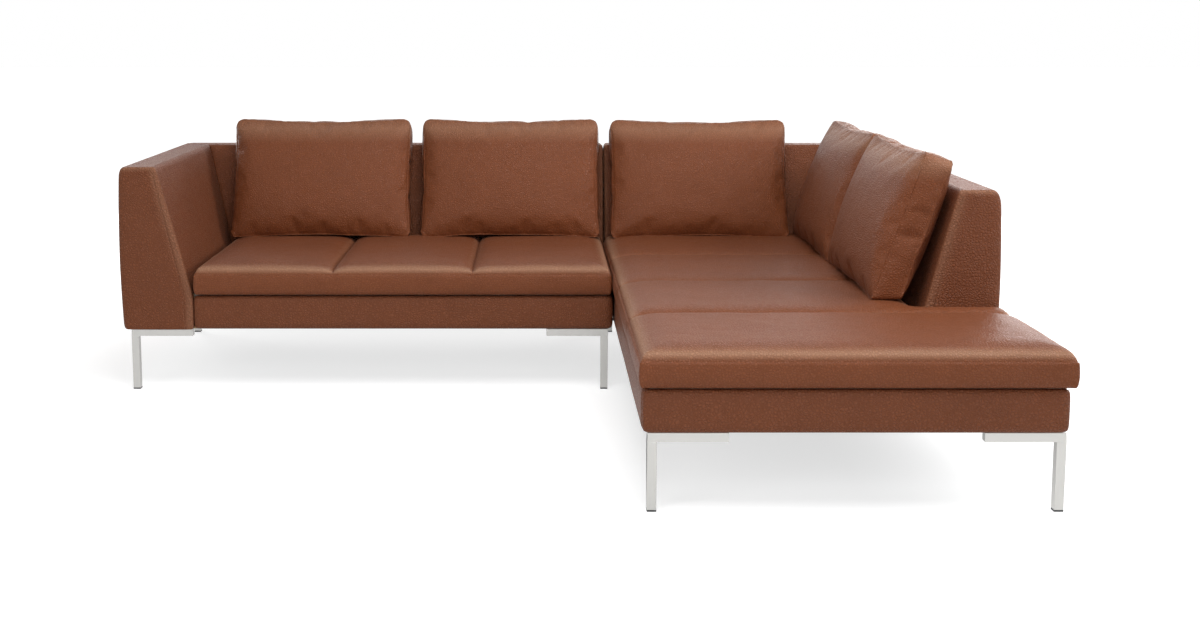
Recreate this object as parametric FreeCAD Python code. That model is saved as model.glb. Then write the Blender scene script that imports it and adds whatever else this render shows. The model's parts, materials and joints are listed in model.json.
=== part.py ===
import FreeCAD, Part
import math
import os

# A corner sofa in leather: a three-seat module with one arm, and a chaise module with two backs.
# Frame: +X towards the chaise, which is on the right seen from the front, +Y to the rear, +Z up.
# The origin is on the floor, in the middle of the overall box. All sizes are in millimetres.

# Overall sizes of the two modules
LEFT_MODULE_WIDTH = 1638.0
LEFT_MODULE_DEPTH = 960.0
CHAISE_WIDTH = 1074.0
CHAISE_LENGTH = 2190.0
MODULE_GAP = 4.0
SIDE_BACK_LENGTH = 1603.0
WALL_TOP_Z = 750.0

# Arms and backs
WALL_TOP_THICKNESS = 129.0
WALL_SLOPE = math.radians(14.7)
OUTER_BULGE = 8.0
WALL_PADDING = 22.0
WALL_BOARD = 18.0
TOP_OUTER_RADIUS = 24.0
TOP_INNER_RADIUS = 14.0
FRONT_EDGE_RADIUS = 10.0

# Seat frame
LEG_HEIGHT = 205.0
DUST_COVER_THICKNESS = 1.0
RAIL_HEIGHT = 100.0
RAIL_THICKNESS = 30.0
STRAP_THICKNESS = 2.0
STRAP_WIDTH = 60.0
STRAP_GAP = 70.0
STRAP_END_INSET = 5.0
DECK_PAD_THICKNESS = 12.0
MIDDLE_CROSS_RAILS = 2
CORNER_BLOCK_SIDE = 70.0
CORNER_BLOCK_HEIGHT = 80.0
PLINTH_EDGE_RADIUS = 8.0

# Seat cushions
SEAT_HEIGHT = 430.0
SEAT_CROWN = 35.0
SEAT_CHANNEL_DEPTH = 20.0
SEAT_EDGE_CROWN = 4.0
SEAT_ROLL = 130.0
SEAT_FRONT_OVERHANG = 15.0
CHAISE_RIGHT_OVERHANG = 12.0
CHAISE_LEFT_OVERHANG = 9.0
SEAT_WALL_GAP = 4.0
SEAT_JOIN_GAP = 0.5
LEFT_SEGMENTS = 3
CHAISE_CHANNEL_PITCH = 495.0
CHAISE_SEGMENTS = 4
SEAT_WADDING = 18.0
SEAT_LINING = 3.0
GRIP_TAPE_THICKNESS = 1.5
GRIP_TAPE_WIDTH = 50.0
GRIP_TAPE_INSET = 60.0

# Back cushions
CUSHION_WIDTH = 662.0
CUSHION_HEIGHT = 416.0
CUSHION_EDGE = 98.0
CUSHION_FRONT_CROWN = 50.0
CUSHION_REAR_CROWN = 45.0
CUSHION_EDGE_CROWN = 6.0
CUSHION_LEAN = math.radians(19.0)
CUSHION_SIDE_DRAW = 11.0
CUSHION_TOP_DIP = 13.0
CUSHION_CORNER_RADIUS = 22.0
CUSHION_SKIN = 3.0
SOFT_GAP = 0.3
FIRST_CUSHION_INSET = 9.0
REAR_CUSHION_PITCH = 703.0
CHAISE_CUSHION_INSET = 16.0
SIDE_CUSHION_INSET = 2.0
SIDE_CUSHION_GAP = 2.0
ZIP_LENGTH = 420.0
ZIP_WIDTH = 12.0
ZIP_THICKNESS = 2.0

# Legs
LEG_TUBE = 24.0
LEG_WALL = 2.0
LEG_ARM_LENGTH = 205.0
LEG_FRONT_INSET = 18.0
LEG_REAR_INSET = 24.0
ARM_LEG_INSET = 30.0
LEFT_INNER_LEG_INSET = 18.0
CHAISE_LEFT_LEG_INSET = 17.0
CHAISE_RIGHT_LEG_INSET = 5.0
GLIDE_HEIGHT = 4.0
GLIDE_PLUG = 15.0
GLIDE_CLEARANCE = 0.2

# Fasteners
BOLT_DIAMETER = 8.0
BOLT_HEAD_DIAMETER = 14.0
BOLT_HEAD_HEIGHT = 5.0
BOLT_CLEARANCE = 0.3
BOLT_ENDS = 45.0
ACCESS_HOLE_DIAMETER = 17.0
INSERT_DIAMETER = 12.0
INSERT_LENGTH = 13.0
INSERT_CLEARANCE = 0.1
FRAME_SCREW_DIAMETER = 7.0
FRAME_SCREW_GRIP = 14.0
FRAME_SCREW_END_INSET = 150.0
FRAME_SCREWS_PER_WALL = 3
LINK_PLATE_LENGTH = 98.0
LINK_PLATE_WIDTH = 40.0
LINK_PLATE_THICKNESS = 3.0
LINK_PLATE_INSET = 160.0
LINK_SCREW_DIAMETER = 6.0
LINK_SCREW_LENGTH = 25.0
LINK_SCREW_EDGE = 11.0

# Places worked out from the sizes above
OVERALL_WIDTH = LEFT_MODULE_WIDTH + MODULE_GAP + CHAISE_WIDTH + CHAISE_RIGHT_OVERHANG
OVERALL_DEPTH = CHAISE_LENGTH + SEAT_FRONT_OVERHANG
X_ARM = -OVERALL_WIDTH / 2
X_JOIN = X_ARM + LEFT_MODULE_WIDTH
X_CHAISE = X_JOIN + MODULE_GAP
X_SIDE = X_CHAISE + CHAISE_WIDTH
Y_REAR = OVERALL_DEPTH / 2
Y_LEFT = Y_REAR - LEFT_MODULE_DEPTH
Y_CHAISE = Y_REAR - CHAISE_LENGTH
Y_SIDE = Y_REAR - SIDE_BACK_LENGTH

Z_FRAME = LEG_HEIGHT + DUST_COVER_THICKNESS
Z_RAIL_TOP = Z_FRAME + RAIL_HEIGHT
Z_DECK_PAD = Z_RAIL_TOP + 2 * STRAP_THICKNESS
Z_DECK = Z_DECK_PAD + DECK_PAD_THICKNESS
Z_SEAT = Z_DECK + 2 * GRIP_TAPE_THICKNESS
Z_SEAM = SEAT_HEIGHT - SEAT_CROWN

SLOPE = math.tan(WALL_SLOPE)
WALL_FOOT = WALL_TOP_THICKNESS + (WALL_TOP_Z - Z_DECK) * SLOPE

# The seat frames lie inside the plinth padding and in front of the feet of the backs.
LEFT_FRAME = (X_ARM + WALL_FOOT, X_JOIN - WALL_PADDING, Y_LEFT + WALL_PADDING, Y_REAR - WALL_FOOT)
CHAISE_FRAME = (X_CHAISE + WALL_PADDING, X_SIDE - WALL_FOOT, Y_CHAISE + WALL_PADDING, Y_REAR - WALL_FOOT)
X_BAY = X_SIDE - WALL_PADDING

# How far a cutting block reaches past what it cuts, and how near two places count as the same
MARGIN = 60.0
SAME_PLACE = 0.01


def vec(x, y, z):
    return FreeCAD.Vector(x, y, z)


def box(x0, x1, y0, y1, z0, z1):
    """A box between two corners."""
    return Part.makeBox(x1 - x0, y1 - y0, z1 - z0, vec(x0, y0, z0))


def plate(corners, z0, z1):
    """A flat plate from its outline in plan."""
    wire = Part.makePolygon([vec(x, y, z0) for x, y in corners + corners[:1]])
    return Part.Face(wire).extrude(vec(0, 0, z1 - z0))


def fused(shapes):
    """Several shapes as one solid."""
    return shapes[0].fuse(shapes[1:]).removeSplitter()


def group(shapes):
    """Separate solids that share one node."""
    return Part.makeCompound([solid for shape in shapes for solid in shape.Solids])


def upright(x, y, z0, z1, diameter):
    """A round pin, hole or head that stands along Z."""
    return Part.makeCylinder(diameter / 2, z1 - z0, vec(x, y, z0))


def drilled(shape, holes):
    """A shape with holes cut through it."""
    return shape.cut(holes) if holes else shape


def spread(start, end, count):
    """Evenly spaced places from start to end, both included."""
    return [start + (end - start) * i / (count - 1) for i in range(count)]


# Arms and backs share one section: an upright outer face, a narrow top and a sloping inner face.
# Each is drawn by its depth s, inwards from the outer face, and its place along the wall.


def along_arm(s, along, z):
    return vec(X_ARM + s, along, z)


def along_side(s, along, z):
    return vec(X_SIDE - s, along, z)


def along_rear(s, along, z):
    return vec(along, Y_REAR - s, z)


WALLS = {
    # name: (placing function, plain end, mitred end, direction from the plain end to the mitre)
    "left_arm": (along_arm, Y_LEFT, Y_REAR, 1),
    "left_back": (along_rear, X_JOIN, X_ARM, -1),
    "rear_back": (along_rear, X_CHAISE, X_SIDE, 1),
    "side_back": (along_side, Y_SIDE, Y_REAR, 1),
}
# How far the plain end's padding hangs past the dust cover. The side back's stands over it.
END_BORDER = {"left_arm": WALL_PADDING, "left_back": WALL_PADDING, "rear_back": WALL_PADDING, "side_back": 0}


def wall_slope_at(z, inset):
    """Depth of the sloping inner face at a height, for a section drawn in by an inset."""
    return WALL_TOP_THICKNESS - inset / math.cos(WALL_SLOPE) + (WALL_TOP_Z - z) * SLOPE


def prism_along(place, edges, start, end):
    """A section drawn at one place along the wall and carried to another."""
    face = Part.Face(Part.Wire(edges))
    return face.extrude(place(0, end, 0) - place(0, start, 0))


def polygon_edges(place, points, at):
    corners = [place(s, at, z) for s, z in points]
    return [Part.makeLine(a, b) for a, b in zip(corners, corners[1:] + corners[:1])]


def mitre_cut(place, end, direction, setback):
    """The block that is taken off a wall's mitred end, so that it meets its neighbour at 45 degrees."""
    low = end - direction * setback
    reach = WALL_FOOT + MARGIN
    past = low + direction * MARGIN
    points = [(-MARGIN, past), (reach, low - direction * reach), (reach, past)]
    corners = [place(s, a, Z_FRAME - MARGIN) for s, a in points]
    face = Part.Face(Part.makePolygon(corners + corners[:1]))
    return face.extrude(vec(0, 0, WALL_TOP_Z + 2 * MARGIN - Z_FRAME))


def wall_form(name):
    """The padded outside of an arm or back: a bulged outer face, rounded top and front edges."""
    place, start, end, direction = WALLS[name]
    outer = [(OUTER_BULGE, LEG_HEIGHT), (0, (LEG_HEIGHT + WALL_TOP_Z) / 2), (OUTER_BULGE, WALL_TOP_Z)]
    bulge = Part.Arc(*[place(s, start, z) for s, z in outer]).toShape()
    inner = [(WALL_TOP_THICKNESS, WALL_TOP_Z), (WALL_FOOT, Z_DECK), (WALL_FOOT, LEG_HEIGHT)]
    points = [outer[-1]] + inner + [outer[0]]
    corners = [place(s, start, z) for s, z in points]
    lines = [Part.makeLine(a, b) for a, b in zip(corners, corners[1:])]
    form = prism_along(place, [bulge] + lines, start, end)
    form = form.cut(mitre_cut(place, end, direction, 0))
    form = round_long_edge(form, place, start, (OUTER_BULGE, WALL_TOP_Z), TOP_OUTER_RADIUS)
    form = round_long_edge(form, place, start, (WALL_TOP_THICKNESS, WALL_TOP_Z), TOP_INNER_RADIUS)
    return round_front_edges(form, place, start)


def round_long_edge(form, place, start, corner, radius):
    """Round the edge that runs along the wall from one corner of its section."""
    at = place(corner[0], start, corner[1])
    chosen = []
    for edge in form.Edges:
        apart = min(v.Point.distanceToPoint(at) for v in edge.Vertexes)
        if apart < SAME_PLACE and abs(edge_run(edge, place)) > radius:
            chosen.append(edge)
    return form.makeFillet(radius, chosen)


def edge_run(edge, place):
    """How far an edge runs along the wall."""
    step = place(0, 1, 0) - place(0, 0, 0)
    ends = edge.Vertexes
    return (ends[-1].Point - ends[0].Point).dot(step)


def round_front_edges(form, place, start):
    """Round the plain end's outer, top and sloping edges, but not where it meets the plinth."""
    step = place(0, 1, 0) - place(0, 0, 0)
    at = place(0, start, 0).dot(step)
    foot = place(WALL_FOOT, start, LEG_HEIGHT)
    chosen = []
    for edge in form.Edges:
        middle = edge.valueAt((edge.FirstParameter + edge.LastParameter) / 2)
        on_end = abs(middle.dot(step) - at) < SAME_PLACE and abs(edge_run(edge, place)) < SAME_PLACE
        low = middle.z < LEG_HEIGHT + SAME_PLACE
        across = vec(1, 1, 0) - vec(abs(step.x), abs(step.y), 0)
        at_foot = abs((middle - foot).dot(across)) < SAME_PLACE and middle.z < Z_DECK
        if on_end and not low and not at_foot:
            chosen.append(edge)
    return form.makeFillet(FRONT_EDGE_RADIUS, chosen)


def wall_frame_block(name):
    """The outside of a wall's timber frame, which comes out flush with the seat frame below the deck."""
    place, start, end, direction = WALLS[name]
    top = WALL_TOP_Z - WALL_PADDING
    points = [
        (WALL_PADDING, Z_FRAME),
        (WALL_PADDING, top),
        (wall_slope_at(top, WALL_PADDING), top),
        (wall_slope_at(Z_DECK, WALL_PADDING), Z_DECK),
        (WALL_FOOT, Z_DECK),
        (WALL_FOOT, Z_FRAME),
    ]
    first = start + direction * WALL_PADDING
    block = prism_along(place, polygon_edges(place, points, first), first, end)
    return block.cut(mitre_cut(place, end, direction, 0))


def wall_frame_hollow(name):
    """The space between the boards of a wall's timber frame."""
    place, start, end, direction = WALLS[name]
    inset = WALL_PADDING + WALL_BOARD
    top = WALL_TOP_Z - inset
    inner = WALL_FOOT - WALL_BOARD
    low = WALL_TOP_Z - (inner - wall_slope_at(WALL_TOP_Z, inset)) / SLOPE
    floor = Z_FRAME + WALL_BOARD
    points = [(inset, floor), (inset, top), (wall_slope_at(top, inset), top)]
    if low > floor:
        points += [(inner, low), (inner, floor)]
    else:
        points += [(wall_slope_at(floor, inset), floor)]
    first = start + direction * inset
    hollow = prism_along(place, polygon_edges(place, points, first), first, end)
    return hollow.cut(mitre_cut(place, end, direction, WALL_BOARD * math.sqrt(2)))


def wall_cover(name):
    """The leather over its foam, a shell round the timber frame."""
    place, start, end, direction = WALLS[name]
    first = start + direction * END_BORDER[name]
    inner = WALL_FOOT + MARGIN
    points = [(WALL_PADDING, 0), (inner, 0), (inner, Z_FRAME), (WALL_PADDING, Z_FRAME)]
    base = prism_along(place, polygon_edges(place, points, first), first, end + direction * MARGIN)
    return wall_form(name).cut([wall_frame_block(name), base])


# Legs: a square tube post under the outer end of a square tube arm, which lies along X below the frame.

LEGS = {
    # name: (outer end of the arm along X, direction of the arm, front of the tube along Y)
    "leg_arm_front": (X_ARM + ARM_LEG_INSET, 1, Y_LEFT + LEG_FRONT_INSET),
    "leg_arm_rear": (X_ARM + ARM_LEG_INSET, 1, Y_REAR - LEG_REAR_INSET - LEG_TUBE),
    "leg_seat_front": (X_JOIN - LEFT_INNER_LEG_INSET, -1, Y_LEFT + LEG_FRONT_INSET),
    "leg_seat_rear": (X_JOIN - LEFT_INNER_LEG_INSET, -1, Y_REAR - LEG_REAR_INSET - LEG_TUBE),
    "leg_chaise_front_inner": (X_CHAISE + CHAISE_LEFT_LEG_INSET, 1, Y_CHAISE + LEG_FRONT_INSET),
    "leg_chaise_rear_inner": (X_CHAISE + CHAISE_LEFT_LEG_INSET, 1, Y_REAR - LEG_REAR_INSET - LEG_TUBE),
    "leg_chaise_front_outer": (X_SIDE - CHAISE_RIGHT_LEG_INSET, -1, Y_CHAISE + LEG_FRONT_INSET),
    "leg_chaise_rear_outer": (X_SIDE - CHAISE_RIGHT_LEG_INSET, -1, Y_REAR - LEG_REAR_INSET - LEG_TUBE),
}


def span(origin, direction, near, far):
    """The two ends of a stretch along X, low end first."""
    ends = (origin + direction * near, origin + direction * far)
    return min(ends), max(ends)


def leg_bolt_places():
    """Two bolts through the arm of each leg."""
    places = []
    for x, direction, y in LEGS.values():
        for reach in (BOLT_ENDS, LEG_ARM_LENGTH - BOLT_ENDS):
            places.append((x + direction * reach, y + LEG_TUBE / 2))
    return places


def leg(name):
    """Post and arm, two tubes that are welded where they meet."""
    x, direction, y = LEGS[name]
    z_arm = LEG_HEIGHT - LEG_TUBE
    x0, x1 = span(x, direction, 0, LEG_ARM_LENGTH)
    inner0, inner1 = span(x, direction, LEG_WALL, LEG_ARM_LENGTH - LEG_WALL)
    y1 = y + LEG_TUBE
    arm = box(x0, x1, y, y1, z_arm, LEG_HEIGHT)
    bore = box(inner0, inner1, y + LEG_WALL, y1 - LEG_WALL, z_arm + LEG_WALL, LEG_HEIGHT - LEG_WALL)
    holes = [bore]
    for bolt_x, bolt_y in leg_bolt_places():
        if x0 < bolt_x < x1 and y < bolt_y < y1:
            holes.append(upright(bolt_x, bolt_y, z_arm, LEG_HEIGHT, BOLT_DIAMETER + 2 * BOLT_CLEARANCE))
            holes.append(upright(bolt_x, bolt_y, z_arm, z_arm + 2 * LEG_WALL, ACCESS_HOLE_DIAMETER))
    p0, p1 = span(x, direction, 0, LEG_TUBE)
    q0, q1 = span(x, direction, LEG_WALL, LEG_TUBE - LEG_WALL)
    post = box(p0, p1, y, y1, GLIDE_HEIGHT, z_arm)
    post = post.cut(box(q0, q1, y + LEG_WALL, y1 - LEG_WALL, GLIDE_HEIGHT, z_arm))
    return group([arm.cut(holes), post])


def leg_glides():
    """A plastic foot under each post, with a plug up its bore."""
    glides = []
    inset = LEG_WALL + GLIDE_CLEARANCE
    for x, direction, y in LEGS.values():
        p0, p1 = span(x, direction, 0, LEG_TUBE)
        foot = box(p0, p1, y, y + LEG_TUBE, 0, GLIDE_HEIGHT)
        plug = box(p0 + inset, p1 - inset, y + inset, y + LEG_TUBE - inset, 0, GLIDE_HEIGHT + GLIDE_PLUG)
        glides.append(fused([foot, plug]))
    return group(glides)


def leg_bolts():
    """Bolts whose heads sit inside the arm tube, under its top wall."""
    bolts = []
    z_head = LEG_HEIGHT - LEG_WALL
    for x, y in leg_bolt_places():
        head = upright(x, y, z_head - BOLT_HEAD_HEIGHT, z_head, BOLT_HEAD_DIAMETER)
        shank = upright(x, y, z_head, Z_FRAME + INSERT_LENGTH, BOLT_DIAMETER)
        bolts.append(fused([head, shank]))
    return group(bolts)


def leg_inserts():
    """Threaded sleeves let into the timber from below."""
    sleeves = []
    for x, y in leg_bolt_places():
        sleeve = upright(x, y, Z_FRAME, Z_FRAME + INSERT_LENGTH, INSERT_DIAMETER)
        bore = upright(x, y, Z_FRAME, Z_FRAME + INSERT_LENGTH, BOLT_DIAMETER + 2 * INSERT_CLEARANCE)
        sleeves.append(sleeve.cut(bore))
    return group(sleeves)


def insert_holes():
    diameter = INSERT_DIAMETER + 2 * INSERT_CLEARANCE
    return [
        upright(x, y, Z_FRAME - DUST_COVER_THICKNESS, Z_FRAME + INSERT_LENGTH + INSERT_CLEARANCE, diameter)
        for x, y in leg_bolt_places()
    ]


# Screws that hold the arm and the backs to the seat frames, from inside the frames.


def frame_screw_places():
    """Each screw's start on the inner face of a rail, and the way it points."""
    x0, x1, y0, y1 = LEFT_FRAME
    cx0, cx1, cy0, cy1 = CHAISE_FRAME
    inset = FRAME_SCREW_END_INSET
    z = Z_FRAME + RAIL_HEIGHT / 2
    count = FRAME_SCREWS_PER_WALL
    arm = [vec(x0 + RAIL_THICKNESS, y, z) for y in spread(y0 + inset, y1 - inset, count)]
    rear = [vec(x, y1 - RAIL_THICKNESS, z) for x in spread(x0 + inset, x1 - inset, count)]
    rear += [vec(x, cy1 - RAIL_THICKNESS, z) for x in spread(cx0 + inset, cx1 - inset, count)]
    side = [vec(cx1 - RAIL_THICKNESS, y, z) for y in spread(Y_SIDE + inset, cy1 - inset, count)]
    rows = [(arm, vec(-1, 0, 0)), (rear, vec(0, 1, 0)), (side, vec(1, 0, 0))]
    return [(start, way) for starts, way in rows for start in starts]


def frame_screws():
    screws = []
    for start, way in frame_screw_places():
        shank = Part.makeCylinder(FRAME_SCREW_DIAMETER / 2, RAIL_THICKNESS + FRAME_SCREW_GRIP, start, way)
        head = Part.makeCylinder(BOLT_HEAD_DIAMETER / 2, BOLT_HEAD_HEIGHT, start, way * -1)
        screws.append(fused([shank, head]))
    return group(screws)


def frame_screw_holes():
    reach = RAIL_THICKNESS + FRAME_SCREW_GRIP + INSERT_CLEARANCE
    radius = FRAME_SCREW_DIAMETER / 2 + INSERT_CLEARANCE
    return [Part.makeCylinder(radius, reach, start, way) for start, way in frame_screw_places()]


# Plates that link the two modules under their neighbouring rails.


def link_places():
    """The middle of each plate, in plan."""
    middle = (LEFT_FRAME[1] + CHAISE_FRAME[0]) / 2
    first = LEFT_FRAME[2] + LINK_PLATE_INSET
    last = LEFT_FRAME[3] - LINK_PLATE_INSET
    return [(middle, first), (middle, last)]


def link_screw_places():
    reach = LINK_PLATE_LENGTH / 2 - LINK_SCREW_EDGE
    return [(x + side * reach, y) for x, y in link_places() for side in (-1, 1)]


def link_plates():
    plates = []
    z1 = LEG_HEIGHT
    holes = [
        upright(x, y, z1 - LINK_PLATE_THICKNESS, z1, LINK_SCREW_DIAMETER + 2 * BOLT_CLEARANCE)
        for x, y in link_screw_places()
    ]
    for x, y in link_places():
        half = LINK_PLATE_LENGTH / 2
        wide = LINK_PLATE_WIDTH / 2
        plates.append(box(x - half, x + half, y - wide, y + wide, z1 - LINK_PLATE_THICKNESS, z1).cut(holes))
    return group(plates)


def link_screws():
    screws = []
    z0 = LEG_HEIGHT - LINK_PLATE_THICKNESS
    for x, y in link_screw_places():
        head = upright(x, y, z0 - LINK_PLATE_THICKNESS, z0, 2 * LINK_SCREW_DIAMETER)
        shank = upright(x, y, z0, z0 + LINK_SCREW_LENGTH, LINK_SCREW_DIAMETER)
        screws.append(fused([head, shank]))
    return group(screws)


def link_screw_holes():
    z1 = LEG_HEIGHT - LINK_PLATE_THICKNESS + LINK_SCREW_LENGTH + INSERT_CLEARANCE
    diameter = LINK_SCREW_DIAMETER + 2 * INSERT_CLEARANCE
    return [upright(x, y, LEG_HEIGHT, z1, diameter) for x, y in link_screw_places()]


# Seat frames


def rail(x0, x1, y0, y1):
    return box(x0, x1, y0, y1, Z_FRAME, Z_RAIL_TOP)


def left_front_rail():
    x0, x1, y0, y1 = LEFT_FRAME
    return rail(x0, x1, y0, y0 + RAIL_THICKNESS)


def left_rear_rail():
    x0, x1, y0, y1 = LEFT_FRAME
    return rail(x0, x1, y1 - RAIL_THICKNESS, y1)


def left_cross_rails():
    """Rails from front to rear: one at each end and the rest between them."""
    x0, x1, y0, y1 = LEFT_FRAME
    starts = spread(x0, x1 - RAIL_THICKNESS, MIDDLE_CROSS_RAILS + 2)
    return group([rail(x, x + RAIL_THICKNESS, y0 + RAIL_THICKNESS, y1 - RAIL_THICKNESS) for x in starts])


def chaise_side_rails():
    """The long inner rail, the rail along the side back and the rail of the open front bay."""
    x0, x1, y0, y1 = CHAISE_FRAME
    return group(
        [
            rail(x0, x0 + RAIL_THICKNESS, y0, y1),
            rail(x1 - RAIL_THICKNESS, x1, Y_SIDE, y1),
            rail(X_BAY - RAIL_THICKNESS, X_BAY, y0, Y_SIDE),
        ]
    )


def chaise_cross_rails():
    """The front rail, the rail in front of the side back, and the rails behind it."""
    x0, x1, y0, y1 = CHAISE_FRAME
    first = x0 + RAIL_THICKNESS
    wide = [
        rail(first, X_BAY - RAIL_THICKNESS, y0, y0 + RAIL_THICKNESS),
        rail(first, X_BAY - RAIL_THICKNESS, Y_SIDE - RAIL_THICKNESS, Y_SIDE),
    ]
    starts = spread(Y_SIDE - RAIL_THICKNESS, y1 - RAIL_THICKNESS, MIDDLE_CROSS_RAILS + 2)[1:]
    narrow = [rail(first, x1 - RAIL_THICKNESS, y, y + RAIL_THICKNESS) for y in starts]
    return group(wide + narrow)


def corner_block(x, y, to_x, to_y):
    side = CORNER_BLOCK_SIDE
    corners = [(x, y), (x + to_x * side, y), (x, y + to_y * side)]
    return plate(corners, Z_FRAME, Z_FRAME + CORNER_BLOCK_HEIGHT)


def corner_blocks():
    """Glued blocks in the corners of both seat frames."""
    blocks = []
    for x0, x1, y0, y1 in (LEFT_FRAME, (CHAISE_FRAME[0], X_BAY, CHAISE_FRAME[2], Y_SIDE)):
        low_x, high_x = x0 + RAIL_THICKNESS, x1 - RAIL_THICKNESS
        low_y, high_y = y0 + RAIL_THICKNESS, y1 - RAIL_THICKNESS
        blocks += [corner_block(low_x, low_y, 1, 1), corner_block(high_x, low_y, -1, 1)]
        blocks += [corner_block(low_x, high_y, 1, -1), corner_block(high_x, high_y, -1, -1)]
    low_x, high_x = CHAISE_FRAME[0] + RAIL_THICKNESS, CHAISE_FRAME[1] - RAIL_THICKNESS
    high_y = CHAISE_FRAME[3] - RAIL_THICKNESS
    blocks += [corner_block(low_x, high_y, 1, -1), corner_block(high_x, high_y, -1, -1)]
    return group(blocks)


def strap_starts(low, high):
    """Where straps start across a bay, evenly spaced about the named gap."""
    room = high - low
    count = max(2, int((room + STRAP_GAP) // (STRAP_WIDTH + STRAP_GAP)))
    gap = (room - count * STRAP_WIDTH) / (count + 1)
    return [low + gap + i * (STRAP_WIDTH + gap) for i in range(count)]


def straps_over(x0, x1, y0, y1, along_x, level):
    """Straps of one layer over a bay, along X or along Y."""
    z0 = Z_RAIL_TOP + level * STRAP_THICKNESS
    z1 = z0 + STRAP_THICKNESS
    end = STRAP_END_INSET
    if along_x:
        return [box(x0 + end, x1 - end, y, y + STRAP_WIDTH, z0, z1) for y in strap_starts(y0, y1)]
    return [box(x, x + STRAP_WIDTH, y0 + end, y1 - end, z0, z1) for x in strap_starts(x0, x1)]


def left_webbing():
    """Elastic straps from front to rear, and a second layer across them."""
    x0, x1, y0, y1 = LEFT_FRAME
    return group(straps_over(x0, x1, y0, y1, False, 0) + straps_over(x0, x1, y0, y1, True, 1))


def chaise_webbing():
    x0, x1, y0, y1 = CHAISE_FRAME
    across = straps_over(x0, X_BAY, y0, Y_SIDE, True, 0) + straps_over(x0, x1, Y_SIDE, y1, True, 0)
    along = straps_over(x0, x1, y0, y1, False, 1) + straps_over(x1, X_BAY, y0, Y_SIDE, False, 1)
    return group(across + along)


def chaise_outline():
    """The chaise's seat frame in plan: a wide front bay, then a narrower run beside the side back."""
    x0, x1, y0, y1 = CHAISE_FRAME
    return [(x0, y0), (X_BAY, y0), (X_BAY, Y_SIDE), (x1, Y_SIDE), (x1, y1), (x0, y1)]


def left_deck_pad():
    x0, x1, y0, y1 = LEFT_FRAME
    return box(x0, x1, y0, y1, Z_DECK_PAD, Z_DECK)


def chaise_deck_pad():
    return plate(chaise_outline(), Z_DECK_PAD, Z_DECK)


def dust_cover(x0, x1, y0, y1):
    """A thin cloth across the underside, open for the screws and bolts."""
    holes = insert_holes() + link_screw_holes()
    return box(x0, x1, y0, y1, LEG_HEIGHT, Z_FRAME).cut(holes)


def plinth_panel(x0, x1, y0, y1, outer):
    """A padded panel of the plinth, with its outer long edges rounded."""
    panel = box(x0, x1, y0, y1, LEG_HEIGHT, Z_DECK)
    side, value = outer
    chosen = []
    for edge in panel.Edges:
        middle = edge.CenterOfMass
        level = abs(edge.Vertexes[0].Point.z - edge.Vertexes[-1].Point.z) < SAME_PLACE
        if level and abs((middle.x if side == "x" else middle.y) - value) < SAME_PLACE:
            chosen.append(edge)
    return panel.makeFillet(PLINTH_EDGE_RADIUS, chosen)


def left_plinth_cover():
    """The front panel and the end panel that faces the chaise."""
    x0, x1, y0, y1 = LEFT_FRAME
    front = plinth_panel(x0, X_JOIN, Y_LEFT, y0, ("y", Y_LEFT))
    end = plinth_panel(x1, X_JOIN, y0, y1, ("x", X_JOIN))
    return group([front, end])


def chaise_plinth_cover():
    """Front panel, inner panel along the whole side, and the short panel of the front bay."""
    x0, x1, y0, y1 = CHAISE_FRAME
    front = plinth_panel(X_CHAISE, X_SIDE, Y_CHAISE, y0, ("y", Y_CHAISE))
    inner = plinth_panel(X_CHAISE, x0, y0, y1, ("x", X_CHAISE))
    outer = plinth_panel(X_BAY, X_SIDE, y0, Y_SIDE, ("x", X_SIDE))
    return group([front, inner, outer])


# Seat cushions: crowned between sewn channels, rolled down to the seam at each side.
# They are drawn by their run p across the channels and their run q along the channels.


def arc_middle(start, end, crown):
    """Height of an arc's middle, so that the arc's top is at the crown although its ends differ."""
    rise = crown - (start + end) / 2
    return (start + end) / 2 + (rise + math.sqrt(rise * rise - (end - start) ** 2 / 4)) / 2


def seat_section(place, q, stations, share, low_end):
    """One section across the channels. The share goes from 0 at the seam to 1 at the full crown.

    The first end is drawn down to the seam, and so is the last end where it is seen.
    """
    valley = Z_SEAM + share * (SEAT_HEIGHT - SEAT_CHANNEL_DEPTH - Z_SEAM)
    crown = Z_SEAM + SEAT_EDGE_CROWN + share * (SEAT_HEIGHT - SEAT_EDGE_CROWN - Z_SEAM)
    heights = [Z_SEAM] + [valley] * (len(stations) - 2) + [Z_SEAM if low_end else valley]
    edges = [
        Part.makeLine(place(stations[-1], q, heights[-1]), place(stations[-1], q, Z_SEAT)),
        Part.makeLine(place(stations[-1], q, Z_SEAT), place(stations[0], q, Z_SEAT)),
        Part.makeLine(place(stations[0], q, Z_SEAT), place(stations[0], q, Z_SEAM)),
    ]
    for i in range(len(stations) - 1):
        start = place(stations[i], q, heights[i])
        top = arc_middle(heights[i], heights[i + 1], crown)
        middle = place((stations[i] + stations[i + 1]) / 2, q, top)
        edges.append(Part.Arc(start, middle, place(stations[i + 1], q, heights[i + 1])).toShape())
    return Part.Wire(edges)


def seat_form(place, stations, q0, q1, low_end):
    """The whole crowned cushion, before anything is cut from it."""
    # How far in a section lies, as a share of the roll, and how much of the crown it has there
    shares = [(0, 0), (0.15, 0.5), (0.5, 0.88), (1, 1)]
    near = [(q0 + reach * SEAT_ROLL, share) for reach, share in shares]
    far = [(q1 - reach * SEAT_ROLL, share) for reach, share in reversed(shares)]
    sections = [seat_section(place, q, stations, share, low_end) for q, share in near + far]
    return Part.makeLoft(sections, True, True)


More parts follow.
